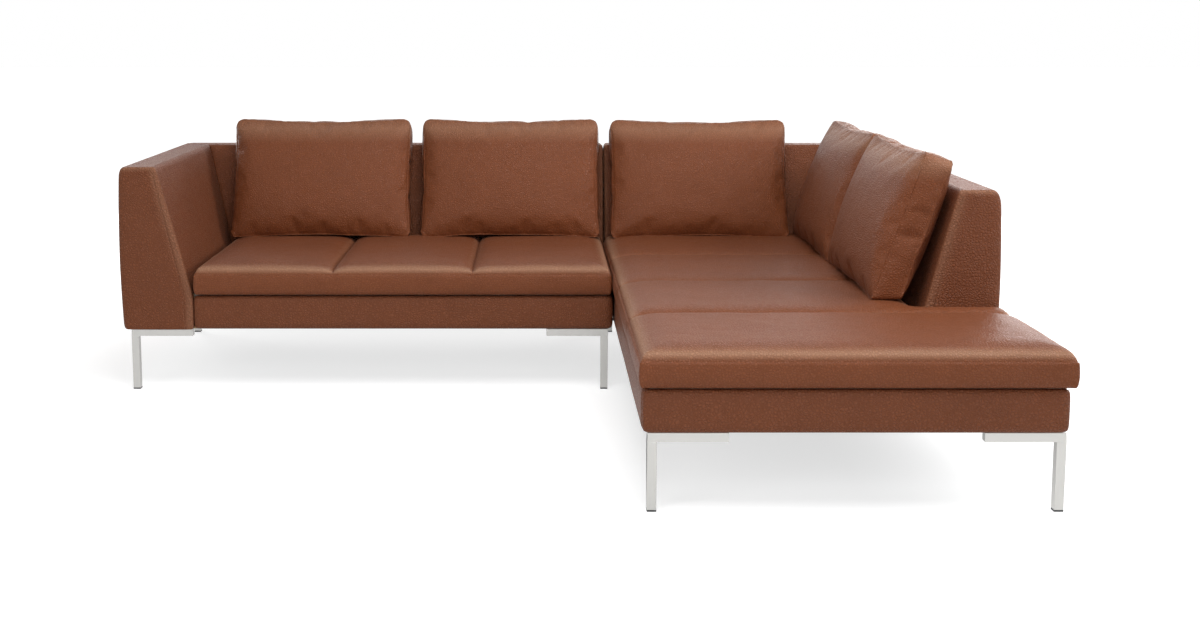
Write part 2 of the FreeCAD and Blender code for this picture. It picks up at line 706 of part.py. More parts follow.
LEFT_SEAT = (X_ARM + WALL_FOOT + SEAT_WALL_GAP, X_CHAISE - CHAISE_LEFT_OVERHANG - SEAT_JOIN_GAP)
SEAT_REAR = Y_REAR - WALL_FOOT - SOFT_GAP
CHAISE_SEAT_SIDE = X_SIDE - WALL_FOOT - SEAT_WALL_GAP
CHAISE_BAY_REAR = Y_SIDE - SEAT_WALL_GAP


def left_seat_foam():
    x0, x1 = LEFT_SEAT
    wad = SEAT_WADDING
    y0 = Y_LEFT - SEAT_FRONT_OVERHANG
    return box(x0 + wad, x1 - wad, y0 + wad, SEAT_REAR - wad, Z_SEAT + SEAT_LINING, Z_SEAM - SEAT_LINING)


def left_seat_cover():
    x0, x1 = LEFT_SEAT
    stations = spread(x0, x1, LEFT_SEGMENTS + 1)
    form = seat_form(lambda p, q, z: vec(p, q, z), stations, Y_LEFT - SEAT_FRONT_OVERHANG, SEAT_REAR, True)
    return form.cut(left_seat_foam())


def chaise_stations():
    """The front edge, the channels and the rear edge of the chaise's cushion."""
    first = Y_CHAISE - SEAT_FRONT_OVERHANG
    return [first + i * CHAISE_CHANNEL_PITCH for i in range(CHAISE_SEGMENTS)] + [SEAT_REAR]


def chaise_level(y):
    """Height of the chaise's cushion in its rearmost segment."""
    start, end = chaise_stations()[-2:]
    share = (y - start) / (end - start)
    return SEAT_HEIGHT - SEAT_CHANNEL_DEPTH * (1 - 4 * share * (1 - share))


def chaise_seat_foam():
    """An L-shaped slab: the wide front bay and the run beside the side back."""
    wad = SEAT_WADDING
    x0 = X_CHAISE - CHAISE_LEFT_OVERHANG + wad
    x1 = X_SIDE + CHAISE_RIGHT_OVERHANG - wad
    x2 = CHAISE_SEAT_SIDE - wad
    y0 = Y_CHAISE - SEAT_FRONT_OVERHANG + wad
    y1 = CHAISE_BAY_REAR - wad
    y2 = SEAT_REAR - wad
    corners = [(x0, y0), (x1, y0), (x1, y1), (x2, y1), (x2, y2), (x0, y2)]
    return plate(corners, Z_SEAT + SEAT_LINING, Z_SEAM - SEAT_LINING)


def chaise_seat_cover():
    x0 = X_CHAISE - CHAISE_LEFT_OVERHANG
    x1 = X_SIDE + CHAISE_RIGHT_OVERHANG
    form = seat_form(lambda p, q, z: vec(q, p, z), chaise_stations(), x0, x1, False)
    beside = box(CHAISE_SEAT_SIDE, x1 + MARGIN, CHAISE_BAY_REAR, Y_REAR, Z_FRAME, WALL_TOP_Z)
    return form.cut(beside).cut(chaise_seat_foam())


def grip_tapes(z0):
    """Strips between each deck and its cushion."""
    z1 = z0 + GRIP_TAPE_THICKNESS
    inset = GRIP_TAPE_INSET
    width = GRIP_TAPE_WIDTH
    x0, x1, y0, y1 = LEFT_FRAME
    cx0, cx1, cy0, cy1 = CHAISE_FRAME
    tapes = []
    for y in (y0 + inset, y1 - inset - width):
        tapes.append(box(x0 + inset, x1 - inset, y, y + width, z0, z1))
    for x in (cx0 + inset, cx1 - inset - width):
        tapes.append(box(x, x + width, cy0 + inset, cy1 - inset, z0, z1))
    tapes.append(box(X_BAY - inset - width, X_BAY - inset, cy0 + inset, Y_SIDE - inset, z0, z1))
    return group(tapes)


# Back cushions: boxed cushions that stand on the seat and lean against a back.
# Each is drawn by its run u across the back, its height v up the cushion and its depth w to the front.


def cushion_chord():
    """Where the crowned faces start and end along v. They run below the rear bottom edge to the seat."""
    drop = (CUSHION_EDGE + CUSHION_FRONT_CROWN) * math.tan(CUSHION_LEAN)
    return -drop, CUSHION_HEIGHT + CUSHION_EDGE_CROWN


def cushion_stand(rest):
    """Depth from the wall's outer face to the rear bottom edge of a cushion that rests at a height.

    The rear crown is an arc, and its centre lies one radius and the soft gap from the sloping face.
    """
    low, high = cushion_chord()
    sag = CUSHION_REAR_CROWN
    radius = ((high - low) ** 2 / 4 + sag * sag) / (2 * sag)
    v = (low + high) / 2
    w = radius - sag
    z = rest + v * math.cos(CUSHION_LEAN) + w * math.sin(CUSHION_LEAN)
    slope_depth = wall_slope_at(z, -(radius + SOFT_GAP))
    return slope_depth - w * math.cos(CUSHION_LEAN) + v * math.sin(CUSHION_LEAN)


def cushion_front(rest):
    """Depth from the wall's outer face to the front bottom edge of a cushion that rests at a height."""
    low, high = cushion_chord()
    share = (-CUSHION_EDGE * math.tan(CUSHION_LEAN) - low) / (high - low)
    w = CUSHION_EDGE + 4 * CUSHION_FRONT_CROWN * share * (1 - share)
    return cushion_stand(rest) + w / math.cos(CUSHION_LEAN)


def cushion_place(wall, start, rest):
    """A function from a cushion's own u, v and w to its place against a wall."""
    place = WALLS[wall][0]
    stand = cushion_stand(rest)

    def at(u, v, w):
        s = stand + w * math.cos(CUSHION_LEAN) - v * math.sin(CUSHION_LEAN)
        z = rest + v * math.cos(CUSHION_LEAN) + w * math.sin(CUSHION_LEAN)
        return place(s, start + u, z)

    return at


def cushion_section(at, u, inset, share):
    """One upright section: crowned front and rear between the two seams."""
    low, high = cushion_chord()
    middle = (low + high) / 2
    front = CUSHION_EDGE_CROWN + share * (CUSHION_FRONT_CROWN - CUSHION_EDGE_CROWN)
    rear = CUSHION_EDGE_CROWN + share * (CUSHION_REAR_CROWN - CUSHION_EDGE_CROWN)
    near = CUSHION_EDGE - inset
    return Part.Wire(
        [
            Part.makeLine(at(u, low, inset), at(u, low, near)),
            Part.Arc(at(u, low, near), at(u, middle, near + front), at(u, high, near)).toShape(),
            Part.makeLine(at(u, high, near), at(u, high, inset)),
            Part.Arc(at(u, high, inset), at(u, middle, inset - rear), at(u, low, inset)).toShape(),
        ]
    )


def cushion_outline(at, inset):
    """The cushion seen from the front: drawn-in sides, a dipped top and rounded upper corners."""
    x0, x1 = inset, CUSHION_WIDTH - inset
    top = CUSHION_HEIGHT - inset
    low = 2 * cushion_chord()[0]
    r = CUSHION_CORNER_RADIUS
    part = r * (1 - math.sqrt(0.5))
    depth = CUSHION_EDGE + CUSHION_FRONT_CROWN + CUSHION_REAR_CROWN
    w = -depth
    waist = CUSHION_HEIGHT / 2

    def p(u, v):
        return at(u, v, w)

    def arc(a, b, c):
        return Part.Arc(p(*a), p(*b), p(*c)).toShape()

    wire = Part.Wire(
        [
            Part.makeLine(p(x0, low), p(x1, low)),
            Part.makeLine(p(x1, low), p(x1, 0)),
            arc((x1, 0), (x1 - CUSHION_SIDE_DRAW, waist), (x1, top - r)),
            arc((x1, top - r), (x1 - part, top - part), (x1 - r, top)),
            arc((x1 - r, top), ((x0 + x1) / 2, top - CUSHION_TOP_DIP), (x0 + r, top)),
            arc((x0 + r, top), (x0 + part, top - part), (x0, top - r)),
            arc((x0, top - r), (x0 + CUSHION_SIDE_DRAW, waist), (x0, 0)),
            Part.makeLine(p(x0, 0), p(x0, low)),
        ]
    )
    return Part.Face(wire).extrude(at(0, 0, 3 * depth) - at(0, 0, 0))


def cushion_form(at, inset):
    """A crowned boxed cushion, cut level where it rests on the seat."""
    # How far across the width a section lies, and how much of the crown it has there
    shares = [(-0.02, 0), (0.12, 0.6), (0.5, 1), (0.88, 0.6), (1.02, 0)]
    sections = [cushion_section(at, reach * CUSHION_WIDTH, inset, share) for reach, share in shares]
    body = Part.makeLoft(sections, True, False).common(cushion_outline(at, inset))
    middle = at(CUSHION_WIDTH / 2, 0, 0)
    reach = CUSHION_WIDTH
    floor = middle.z + inset
    under = box(middle.x - reach, middle.x + reach, middle.y - reach, middle.y + reach, Z_FRAME, floor)
    return body.cut(under)


def zip_strip(at, along_y):
    """A zip in the middle of the underside."""
    middle = at(CUSHION_WIDTH / 2, 0, CUSHION_EDGE / 2)
    half_x, half_y = (ZIP_WIDTH / 2, ZIP_LENGTH / 2) if along_y else (ZIP_LENGTH / 2, ZIP_WIDTH / 2)
    z0 = at(0, 0, 0).z
    x, y = middle.x, middle.y
    return box(x - half_x, x + half_x, y - half_y, y + half_y, z0, z0 + ZIP_THICKNESS)


FIRST_CUSHION = X_ARM + WALL_FOOT + FIRST_CUSHION_INSET
REST = SEAT_HEIGHT + SOFT_GAP
# The cushion on the chaise's rear segment rests on it by its front bottom edge.
REAR_REST = chaise_level(Y_REAR - cushion_front(REST)) + SOFT_GAP
CUSHIONS = [
    # wall, place along it, height of the underside, and whether the cushion runs along Y
    ("left_back", FIRST_CUSHION, REST, False),
    ("left_back", FIRST_CUSHION + REAR_CUSHION_PITCH, REST, False),
    ("rear_back", X_CHAISE + CHAISE_CUSHION_INSET, REAR_REST, False),
    ("side_back", Y_SIDE + SIDE_CUSHION_INSET + CUSHION_WIDTH + SIDE_CUSHION_GAP, REST, True),
    ("side_back", Y_SIDE + SIDE_CUSHION_INSET, REST, True),
]


def cushion_parts():
    """Cover, filling and zip of the five back cushions."""
    made = {}
    for number, (wall, start, rest, along_y) in enumerate(CUSHIONS, 1):
        at = cushion_place(wall, start, rest)
        filling = cushion_form(at, CUSHION_SKIN)
        strip = zip_strip(at, along_y)
        made[f"back_cushion_{number}_cover"] = cushion_form(at, 0).cut([filling, strip])
        made[f"back_cushion_{number}_filling"] = filling
        made[f"back_cushion_{number}_zip"] = strip
    return made


def all_parts():
    timber_holes = insert_holes() + frame_screw_holes() + link_screw_holes()
    made = {
        "left_front_rail": drilled(left_front_rail(), timber_holes),
        "left_rear_rail": drilled(left_rear_rail(), timber_holes),
        "left_cross_rails": drilled(left_cross_rails(), timber_holes),
        "left_webbing": left_webbing(),
        "left_deck_pad": left_deck_pad(),
        "left_plinth_cover": left_plinth_cover(),
        "left_dust_cover": dust_cover(
            X_ARM + WALL_PADDING, X_JOIN - WALL_PADDING, Y_LEFT + WALL_PADDING, Y_REAR - WALL_PADDING
        ),
        "left_seat_foam": left_seat_foam(),
        "left_seat_cover": left_seat_cover(),
        "chaise_side_rails": drilled(chaise_side_rails(), timber_holes),
        "chaise_cross_rails": drilled(chaise_cross_rails(), timber_holes),
        "chaise_webbing": chaise_webbing(),
        "chaise_deck_pad": chaise_deck_pad(),
        "chaise_plinth_cover": chaise_plinth_cover(),
        "chaise_dust_cover": dust_cover(
            X_CHAISE + WALL_PADDING, X_SIDE - WALL_PADDING, Y_CHAISE + WALL_PADDING, Y_REAR - WALL_PADDING
        ),
        "chaise_seat_foam": chaise_seat_foam(),
        "chaise_seat_cover": chaise_seat_cover(),
        "corner_blocks": corner_blocks(),
        "frame_screws": frame_screws(),
        "hook_tapes": grip_tapes(Z_DECK),
        "loop_tapes": grip_tapes(Z_DECK + GRIP_TAPE_THICKNESS),
        "link_plates": link_plates(),
        "link_screws": link_screws(),
        "leg_glides": leg_glides(),
        "leg_bolts": leg_bolts(),
        "leg_inserts": leg_inserts(),
    }
    for name in WALLS:
        frame = wall_frame_block(name).cut(wall_frame_hollow(name))
        made[f"{name}_frame"] = drilled(frame, timber_holes)
        made[f"{name}_cover"] = wall_cover(name)
    for name in LEGS:
        made[name] = leg(name)
    made.update(cushion_parts())
    return made


os.makedirs("parts", exist_ok=True)
for node, shape in all_parts().items():
    shape.exportStep(f"parts/{node}.step")
    print(node, len(shape.Solids), "solids", round(shape.Volume / 1e6, 3), "litres", shape.isValid())
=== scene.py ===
# %% [markdown]
# # A leather corner sofa
# This script dresses a measured model of a corner sofa. The model gives each hard part its place, and the
# script adds what a measuring tool leaves out: plump leather, seams and stitches, brushed steel and light.
# Loading the measured parts first means that every new piece can be fitted to them in metres.

# %% Load the measured parts
import json
import math

import bmesh
import bpy
from mathutils import Matrix, Vector, kdtree, noise
from mathutils.bvhtree import BVHTree


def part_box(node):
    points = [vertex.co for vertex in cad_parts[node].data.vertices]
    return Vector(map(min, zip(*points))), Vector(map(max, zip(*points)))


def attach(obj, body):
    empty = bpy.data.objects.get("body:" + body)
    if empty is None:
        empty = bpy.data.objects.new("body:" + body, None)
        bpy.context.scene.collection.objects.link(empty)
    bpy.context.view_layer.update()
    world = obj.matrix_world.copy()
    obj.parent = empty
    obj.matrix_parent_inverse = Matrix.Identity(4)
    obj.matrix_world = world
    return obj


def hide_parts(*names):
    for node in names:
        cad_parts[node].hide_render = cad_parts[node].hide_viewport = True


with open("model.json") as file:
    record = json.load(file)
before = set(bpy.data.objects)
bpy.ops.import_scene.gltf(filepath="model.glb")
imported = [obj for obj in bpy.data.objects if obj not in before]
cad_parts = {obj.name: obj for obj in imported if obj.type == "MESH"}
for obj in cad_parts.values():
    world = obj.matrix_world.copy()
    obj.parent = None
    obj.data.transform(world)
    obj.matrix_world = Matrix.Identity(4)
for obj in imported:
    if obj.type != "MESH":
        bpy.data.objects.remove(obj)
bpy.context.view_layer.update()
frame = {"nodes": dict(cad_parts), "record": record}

# %% [markdown]
# ## Colours and shader nodes
# A colour is easiest to pick as a screen value, such as #733C21, but shaders add up light, so they want
# linear values. One function turns the first into the second. Another adds a shader node with its settings
# and its wires in one call, which keeps each recipe short enough to read at a glance.

# %% Helpers for materials
def linear(screen):
    """A screen colour such as "733C21" as the linear colour that a shader wants."""
    shares = [int(screen[i:i + 2], 16) / 255 for i in (0, 2, 4)]
    return (*[c / 12.92 if c <= 0.04045 else ((c + 0.055) / 1.055) ** 2.4 for c in shares], 1)


def shade(screen, share):
    """A screen colour as a linear one, darker or paler by a share."""
    return (*[c * share for c in linear(screen)[:3]], 1)


def add(tree, kind, wires=None, **settings):
    """A shader node with its settings, and with a value or a feeding socket for each input that is named."""
    node = tree.nodes.new(kind)
    for key, value in settings.items():
        setattr(node, key, value)
    for key, value in (wires or {}).items():
        if isinstance(value, bpy.types.NodeSocket):
            tree.links.new(value, node.inputs[key])
        else:
            node.inputs[key].default_value = value
    return node


def blank(name, colour, roughness, metallic=0.0):
    """A new material with one surface shader, its plain values set on the shader itself."""
    material = bpy.data.materials.new(name)
    material.use_nodes = True
    tree = material.node_tree
    shader = tree.nodes["Principled BSDF"]
    shader.inputs["Base Color"].default_value = linear(colour)
    shader.inputs["Roughness"].default_value = roughness
    shader.inputs["Metallic"].default_value = metallic
    return material, tree, shader


print("mid grey as a linear value:", round(linear("808080")[0], 3))

# %% [markdown]
# ## Leather
# The covers are pigmented cow hide with an embossed pebble grain. Three things give it away: rounded pebbles
# with narrow creases between them, a slow drift of tone over a hand's width, and a soft sheen that the
# creases break up. A cell pattern measured to its cell edges draws pebbles and creases at once, and bending
# its coordinates with a slow noise stops the cells from looking like tiles. Real pebbles are 1 to 2 mm wide,
# too fine to show from four metres, so they are drawn about five times as coarse here, at 7 to 8 mm.

# %% Leather recipe
# The finish is thinner than a varnish, so it mirrors less than half of what bare plastic would
LEATHER_GLOSS = 0.20
# Painted highlight: the pale colour of the light's sheen where the hide is pulled tight over rolls and edges
PAINTED_SHEEN_COLOUR = "B08468"
# In pebble widths: the length of the slow noise, how far it moves a cell at most, and the width of a pore
DRIFT, BEND, PORE = 6, 1 / 0.7, 0.35


def leather(name, colour, pebble_mm, depth_mm, roughness):
    """Pebbled hide. The pebble size and the depth of its creases are in millimetres."""
    material, tree, shader = blank(name, colour, roughness)
    place = add(tree, "ShaderNodeTexCoord").outputs["Object"]
    drift = add(
        tree, "ShaderNodeTexNoise", {"Vector": place, "Scale": 1000 / (DRIFT * pebble_mm), "Detail": 2.0}
    )
    bend = add(
        tree,
        "ShaderNodeVectorMath",
        {0: drift.outputs["Color"], "Scale": BEND * pebble_mm / 1000},
        operation="SCALE",
    )
    bent = add(tree, "ShaderNodeVectorMath", {0: place, 1: bend.outputs[0]}, operation="ADD")
    cells = add(
        tree,
        "ShaderNodeTexVoronoi",
        {"Vector": bent.outputs[0], "Scale": 1000 / pebble_mm, "Randomness": 0.9},
        feature="DISTANCE_TO_EDGE",
    )
    pebbles = add(
        tree,
        "ShaderNodeMapRange",
        {"Value": cells.outputs["Distance"], "From Max": 0.32},
        interpolation_type="SMOOTHSTEP",
    )
    pores = add(
        tree, "ShaderNodeTexNoise", {"Vector": place, "Scale": 1000 / (PORE * pebble_mm), "Detail": 2.0}
    )
    height = add(
        tree,
        "ShaderNodeMath",
        {0: pores.outputs["Fac"], 1: 0.25, 2: pebbles.outputs["Result"]},
        operation="MULTIPLY_ADD",
    )
    creases = add(
        tree,
        "ShaderNodeBump",
        {"Height": height.outputs[0], "Distance": depth_mm / 1000, "Strength": 1.0},
    )
    # a hide is never flat: slow swells a few centimetres long bend its highlights
    swell = add(
        tree, "ShaderNodeTexNoise", {"Vector": place, "Scale": 16.0, "Detail": 3.0, "Roughness": 0.45}
    )
    swells = add(
        tree,
        "ShaderNodeBump",
        {"Height": swell.outputs["Fac"], "Distance": 0.0035, "Strength": 1.0, "Normal": creases.outputs[0]},
    )
    tree.links.new(swells.outputs[0], shader.inputs["Normal"])
    tone = add(tree, "ShaderNodeTexNoise", {"Vector": place, "Scale": 7.0, "Detail": 4.0, "Roughness": 0.55})
    dark, pale = shade(colour, 0.88), shade(colour, 1.12)
    hide = add(
        tree, "ShaderNodeMix", {"Factor": tone.outputs["Fac"], "A": dark, "B": pale}, data_type="RGBA"
    )
    # painted highlight: the light's pale sheen is mixed into the colour where the hide is pulled tight over
    # an edge, by a share that each piece stores for its points
    painted_sheen_share = add(tree, "ShaderNodeAttribute", attribute_name="painted_sheen")
    hide = add(
        tree,
        "ShaderNodeMix",
        {"Factor": painted_sheen_share.outputs["Fac"], "A": hide.outputs["Result"], "B": linear(PAINTED_SHEEN_COLOUR)},
        data_type="RGBA",
    )
    # painted shade: the creases between the pebbles are darkened in the colour, down to 0.81 of it
    crease_shade = add(
        tree,
        "ShaderNodeMapRange",
        {"Value": pebbles.outputs["Result"], "To Min": 0.81, "To Max": 1.04},
    )
    shaded = add(
        tree,
        "ShaderNodeVectorMath",
        {0: hide.outputs["Result"], "Scale": crease_shade.outputs["Result"]},
        operation="SCALE",
    )
    tree.links.new(shaded.outputs[0], shader.inputs["Base Color"])
    matt = add(
        tree,
        "ShaderNodeMapRange",
        {"Value": pebbles.outputs["Result"], "To Min": roughness + 0.16, "To Max": roughness},
    )
    tree.links.new(matt.outputs["Result"], shader.inputs["Roughness"])
    shader.inputs["IOR"].default_value = 1.5
    shader.inputs["Specular IOR Level"].default_value = LEATHER_GLOSS
    shader.inputs["Sheen Weight"].default_value = 0.02
    shader.inputs["Sheen Roughness"].default_value = 0.4
    return material


# the arms and backs wear a slightly coarser, duller and darker hide than the cushions
frame_leather = leather("Pebbled leather on frames", "784328", 8.2, 1.3, 0.38)
cushion_leather = leather("Pebbled leather on cushions", "7C4426", 7.2, 1.0, 0.34)
print("leathers:", frame_leather.name, "and", cushion_leather.name)

# %% [markdown]
# ## Metal, plastic and the hidden materials
# The legs are square stainless tube, brushed along its length. Brushing leaves fine parallel scratches that
# stretch each highlight across them, so a noise is squeezed in one direction and drives both the bump and the
# roughness. The pieces inside the sofa show only from below or when a cushion is lifted, and each of them
# still gets the look of its own stuff: sawn beech, elastic webbing, needled felt, spun cloth and zinc.

# %% Brushed steel and zinc
def stretched_noise(tree, scale, detail=3.0):
    """A noise squeezed along some axes. The scale is in lines per metre along X, Y and Z."""
    place = add(tree, "ShaderNodeTexCoord").outputs["Object"]
    squeezed = add(tree, "ShaderNodeMapping", {"Vector": place, "Scale": scale})
    return add(tree, "ShaderNodeTexNoise", {"Vector": squeezed.outputs[0], "Scale": 1.0, "Detail": detail})


def brushed_steel(name, scale):
    """Stainless steel whose scratches run along the axis with the smallest scale."""
    material, tree, shader = blank(name, "B6B5B2", 0.34, 1.0)
    lines = stretched_noise(tree, scale)
    rough = add(
        tree, "ShaderNodeMapRange", {"Value": lines.outputs["Fac"], "To Min": 0.26, "To Max": 0.44}
    )
    bump = add(tree, "ShaderNodeBump", {"Height": lines.outputs["Fac"], "Distance": 0.00012, "Strength": 1.0})
    tree.links.new(rough.outputs["Result"], shader.inputs["Roughness"])
    tree.links.new(bump.outputs[0], shader.inputs["Normal"])
    return material


# scratches 1.1 mm apart, coarser than real ones so that they show, and some 70 mm long
SCRATCHES, RUNS = 900, 14
post_steel = brushed_steel("Stainless steel brushed upright", (SCRATCHES, SCRATCHES, RUNS))
arm_steel = brushed_steel("Stainless steel brushed lengthwise", (RUNS, SCRATCHES, SCRATCHES))


def plated_steel(name):
    """Zinc plate: a dull bluish metal with pale crystals a few millimetres wide."""
    material, tree, shader = blank(name, "B4B8BA", 0.42, 1.0)
    place = add(tree, "ShaderNodeTexCoord").outputs["Object"]
    # 350 crystals per metre are 3 mm wide each
    crystals = add(tree, "ShaderNodeTexVoronoi", {"Vector": place, "Scale": 350.0})
    rough = add(
        tree,
        "ShaderNodeMapRange",
        {"Value": crystals.outputs["Distance"], "To Min": 0.34, "To Max": 0.5},
    )
    tree.links.new(rough.outputs["Result"], shader.inputs["Roughness"])
    return material


zinc_steel = plated_steel("Zinc plated steel")
print("metals:", post_steel.name, arm_steel.name, zinc_steel.name)

# %% Timber, plastic and textiles
def grained(name, colour, roughness, scale, depth, contrast):
    """A stuff whose only mark is a fine relief: wood grain, felt, foam or moulded plastic."""
    material, tree, shader = blank(name, colour, roughness)
    marks = stretched_noise(tree, scale, 5.0)
    dark, pale = shade(colour, 1 - contrast), shade(colour, 1 + contrast)
    tone = add(
        tree, "ShaderNodeMix", {"Factor": marks.outputs["Fac"], "A": dark, "B": pale}, data_type="RGBA"
    )
    bump = add(tree, "ShaderNodeBump", {"Height": marks.outputs["Fac"], "Distance": depth, "Strength": 1.0})
    tree.links.new(tone.outputs["Result"], shader.inputs["Base Color"])
    tree.links.new(bump.outputs[0], shader.inputs["Normal"])
    return material


# A wave texture of scale 1 has this many waves per metre
WAVE_RATE = 20 / (2 * math.pi)


def ribbed(name, colour, roughness, rib_mm, depth):
    """A woven or toothed band: fine ribs along X and along Y, at a spacing in millimetres."""
    material, tree, shader = blank(name, colour, roughness)
    place = add(tree, "ShaderNodeTexCoord").outputs["Object"]
    waves = [
        add(
            tree,
            "ShaderNodeTexWave",
            {"Vector": place, "Scale": 1000 / rib_mm / WAVE_RATE, "Distortion": 0.4},
            bands_direction=axis,
        )
        for axis in ("X", "Y")
    ]
    weave = add(
        tree,
        "ShaderNodeMath",
        {0: waves[0].outputs["Fac"], 1: waves[1].outputs["Fac"]},
        operation="MULTIPLY",
    )
    bump = add(tree, "ShaderNodeBump", {"Height": weave.outputs[0], "Distance": depth, "Strength": 1.0})
    dark, pale = shade(colour, 0.7), shade(colour, 1.3)
    tone = add(tree, "ShaderNodeMix", {"Factor": weave.outputs[0], "A": dark, "B": pale}, data_type="RGBA")
    tree.links.new(tone.outputs["Result"], shader.inputs["Base Color"])
    tree.links.new(bump.outputs[0], shader.inputs["Normal"])
    return material


# sawn beech: layers 2.4 mm thick that run on for 70 mm, dull from the saw
timber = grained("Sawn beech", "C79F6E", 0.6, (14, 14, 420), 0.0003, 0.22)
# moulded polyamide: near black, with the mould's fine 1.7 mm orange peel
glide_plastic = grained("Moulded polyamide glide", "26282A", 0.5, (600, 600, 600), 0.0001, 0.15)
# needled felt: matted fibres about 1 mm apart, with no shine at all
felt = grained("Needled felt deck pad", "8B8984", 0.95, (900, 900, 900), 0.0006, 0.2)
# cut foam: open cells, drawn 2 mm wide
foam = grained("Cut polyurethane foam", "D8CDB2", 0.9, (500, 500, 500), 0.0005, 0.12)
# feathers and fibre in a case: soft lumps of 17 mm
filling = grained("Feather and fibre filling", "DAD6CC", 0.95, (60, 60, 60), 0.003, 0.1)
# spun cloth: 1.4 mm fibre bundles that lie mostly one way
dust_cloth = grained("Spun dust cloth", "25272A", 0.9, (700, 250, 700), 0.0003, 0.3)
# woven bands, their ribs, hooks and teeth drawn about twice as coarse as real ones so that they show
webbing = ribbed("Elastic webbing", "3B3A38", 0.8, 3.29, 0.0004)
grip_tape = ribbed("Hook and loop tape", "2C2C2E", 0.95, 2.193, 0.0006)
zip_band = ribbed("Zip tape and teeth", "4A3A2E", 0.6, 4.935, 0.0008)
# sewing thread: a shade paler than the hide, its twist 0.7 mm long
thread = grained("Bonded polyester thread", "8C5B40", 0.55, (1500, 1500, 1500), 0.0001, 0.2)

FINISHES = {
    "timber": timber,
    "webbing": webbing,
    "felt": felt,
    "dust_cloth": dust_cloth,
    "foam": foam,
    "filling": filling,
    "grip_tape": grip_tape,
    "zip": zip_band,
    "zinc_steel": zinc_steel,
    "glide_plastic": glide_plastic,
    "satin_steel": post_steel,
    "cognac_leather": frame_leather,
}
SLOT_OF = {row["node"]: row["material_slot"] for row in frame["record"]["subparts"]}
for name, part in frame["nodes"].items():
    for place in part.material_slots:
        place.material = FINISHES[SLOT_OF[name]]
print("measured parts dressed:", len(frame["nodes"]))

# %% [markdown]
# ## Tools for soft pieces
# Every soft piece starts as a box of small even squares, because leather that is bent, pressed or simulated
# needs points everywhere. Cutting only the edges that run one way splits a box into clean strips, so three
# rounds of cuts give the squares. Corners are then rounded by drawing the points near them onto an arc,
# which keeps the squares in rows, where a bevel on a fine grid would tangle them.

# %% Box of even squares
def cut_evenly(bm, cell):
    """Cuts every edge into lengths near the cell's. The edges that are equally long get equal cuts."""
    for axis in range(3):
        lengths = {}
        for edge in bm.edges:
            run = edge.verts[1].co - edge.verts[0].co
            if abs(run[axis]) > 0.99 * run.length:
                lengths.setdefault(round(run.length, 4), []).append(edge)
        for length, edges in lengths.items():
            cuts = round(length / cell) - 1
            if cuts > 0:
                bmesh.ops.subdivide_edges(bm, edges=edges, cuts=cuts, use_grid_fill=True)


def slice_at(bm, axis, places):
    """A straight loop round the piece at each place along an axis."""
    normal = Vector((0, 0, 0))
    normal[axis] = 1
    for place in places:
        everything = bm.verts[:] + bm.edges[:] + bm.faces[:]
        bmesh.ops.bisect_plane(bm, geom=everything, plane_co=normal * place, plane_no=normal)


def box_of_squares(low, high, cell, loops=((), (), ())):
    """A closed box between two corners, in small squares, with extra loops where they are named."""
    bm = bmesh.new()
    bmesh.ops.create_cube(bm, size=1)
    bmesh.ops.scale(bm, vec=high - low, verts=bm.verts)
    bmesh.ops.translate(bm, vec=(low + high) / 2, verts=bm.verts)
    for axis, places in enumerate(loops):
        slice_at(bm, axis, places)
    cut_evenly(bm, cell)
    return bm


def rounded(point, low, high, radii_low, radii_high):
    """Draws a point of a box onto rounded corners. There is one radius for each of the six faces."""
    inner = Vector((0, 0, 0))
    out = Vector((0, 0, 0))
    radius = Vector((1, 1, 1))
    for axis in range(3):
        start, stop = low[axis] + radii_low[axis], high[axis] - radii_high[axis]
        inner[axis] = min(max(point[axis], start), stop)
        radius[axis] = radii_low[axis] if point[axis] < start else radii_high[axis]
        if radius[axis] > 0:
            out[axis] = (point[axis] - inner[axis]) / radius[axis]
    if out.length > 0:
        out *= max(abs(x) for x in out) / out.length
    return Vector([inner[axis] + out[axis] * radius[axis] for axis in range(3)])


sample = box_of_squares(Vector((0, 0, 0)), Vector((1, 0.5, 0.2)), 0.1)
print("a box of 1 x 0.5 x 0.2 m in squares of 10 cm:", len(sample.faces), "faces")
sample.free()

# %% [markdown]
# ## Seams and stitches
# A sewn edge is two panels turned inwards, so it reads as a narrow valley with a soft lip on each side. The
# edges of the seam are marked on the box before it is shaped, then bevelled into two strips, and the middle
# line is pushed in. Some seams also carry a row of topstitching, a few millimetres to one side. Each stitch
# is a small stretched bead that is laid on the leather and half sunk into it.

# %% Marks and valleys
# The valley's floor is the middle third of its width, and its lips rise by a quarter of its depth
VALLEY_FLOOR, LIP = 0.33, 0.25


def near(a, b):
    """Whether two places are the same, within a hundredth of a millimetre."""
    return abs(a - b) < 1e-5


def mark_edges(bm, mark, chosen):
    """Gives a seam's number to the edges whose two ends are both chosen."""
    layer = bm.edges.layers.int.get("seam") or bm.edges.layers.int.new("seam")
    for edge in bm.edges:
        if all(chosen(vert.co) for vert in edge.verts):
            edge[layer] = mark


def marked_paths(bm, mark):
    """The marked edges as ordered runs of points, one list for each seam."""
    layer = bm.edges.layers.int["seam"]
    left = {edge for edge in bm.edges if edge[layer] == mark}
    paths = []
    while left:
        ends = [e for e in left if any(sum(o in left for o in v.link_edges) == 1 for v in e.verts)]
        edge = min(ends or left, key=lambda e: e.index)
        vert = next((v for v in edge.verts if sum(o in left for o in v.link_edges) == 1), edge.verts[0])
        path = [vert.co.copy()]
        while edge:
            left.discard(edge)
            vert = edge.other_vert(vert)
            path.append(vert.co.copy())
            edge = next((o for o in vert.link_edges if o in left), None)
        paths.append(path)
    return paths


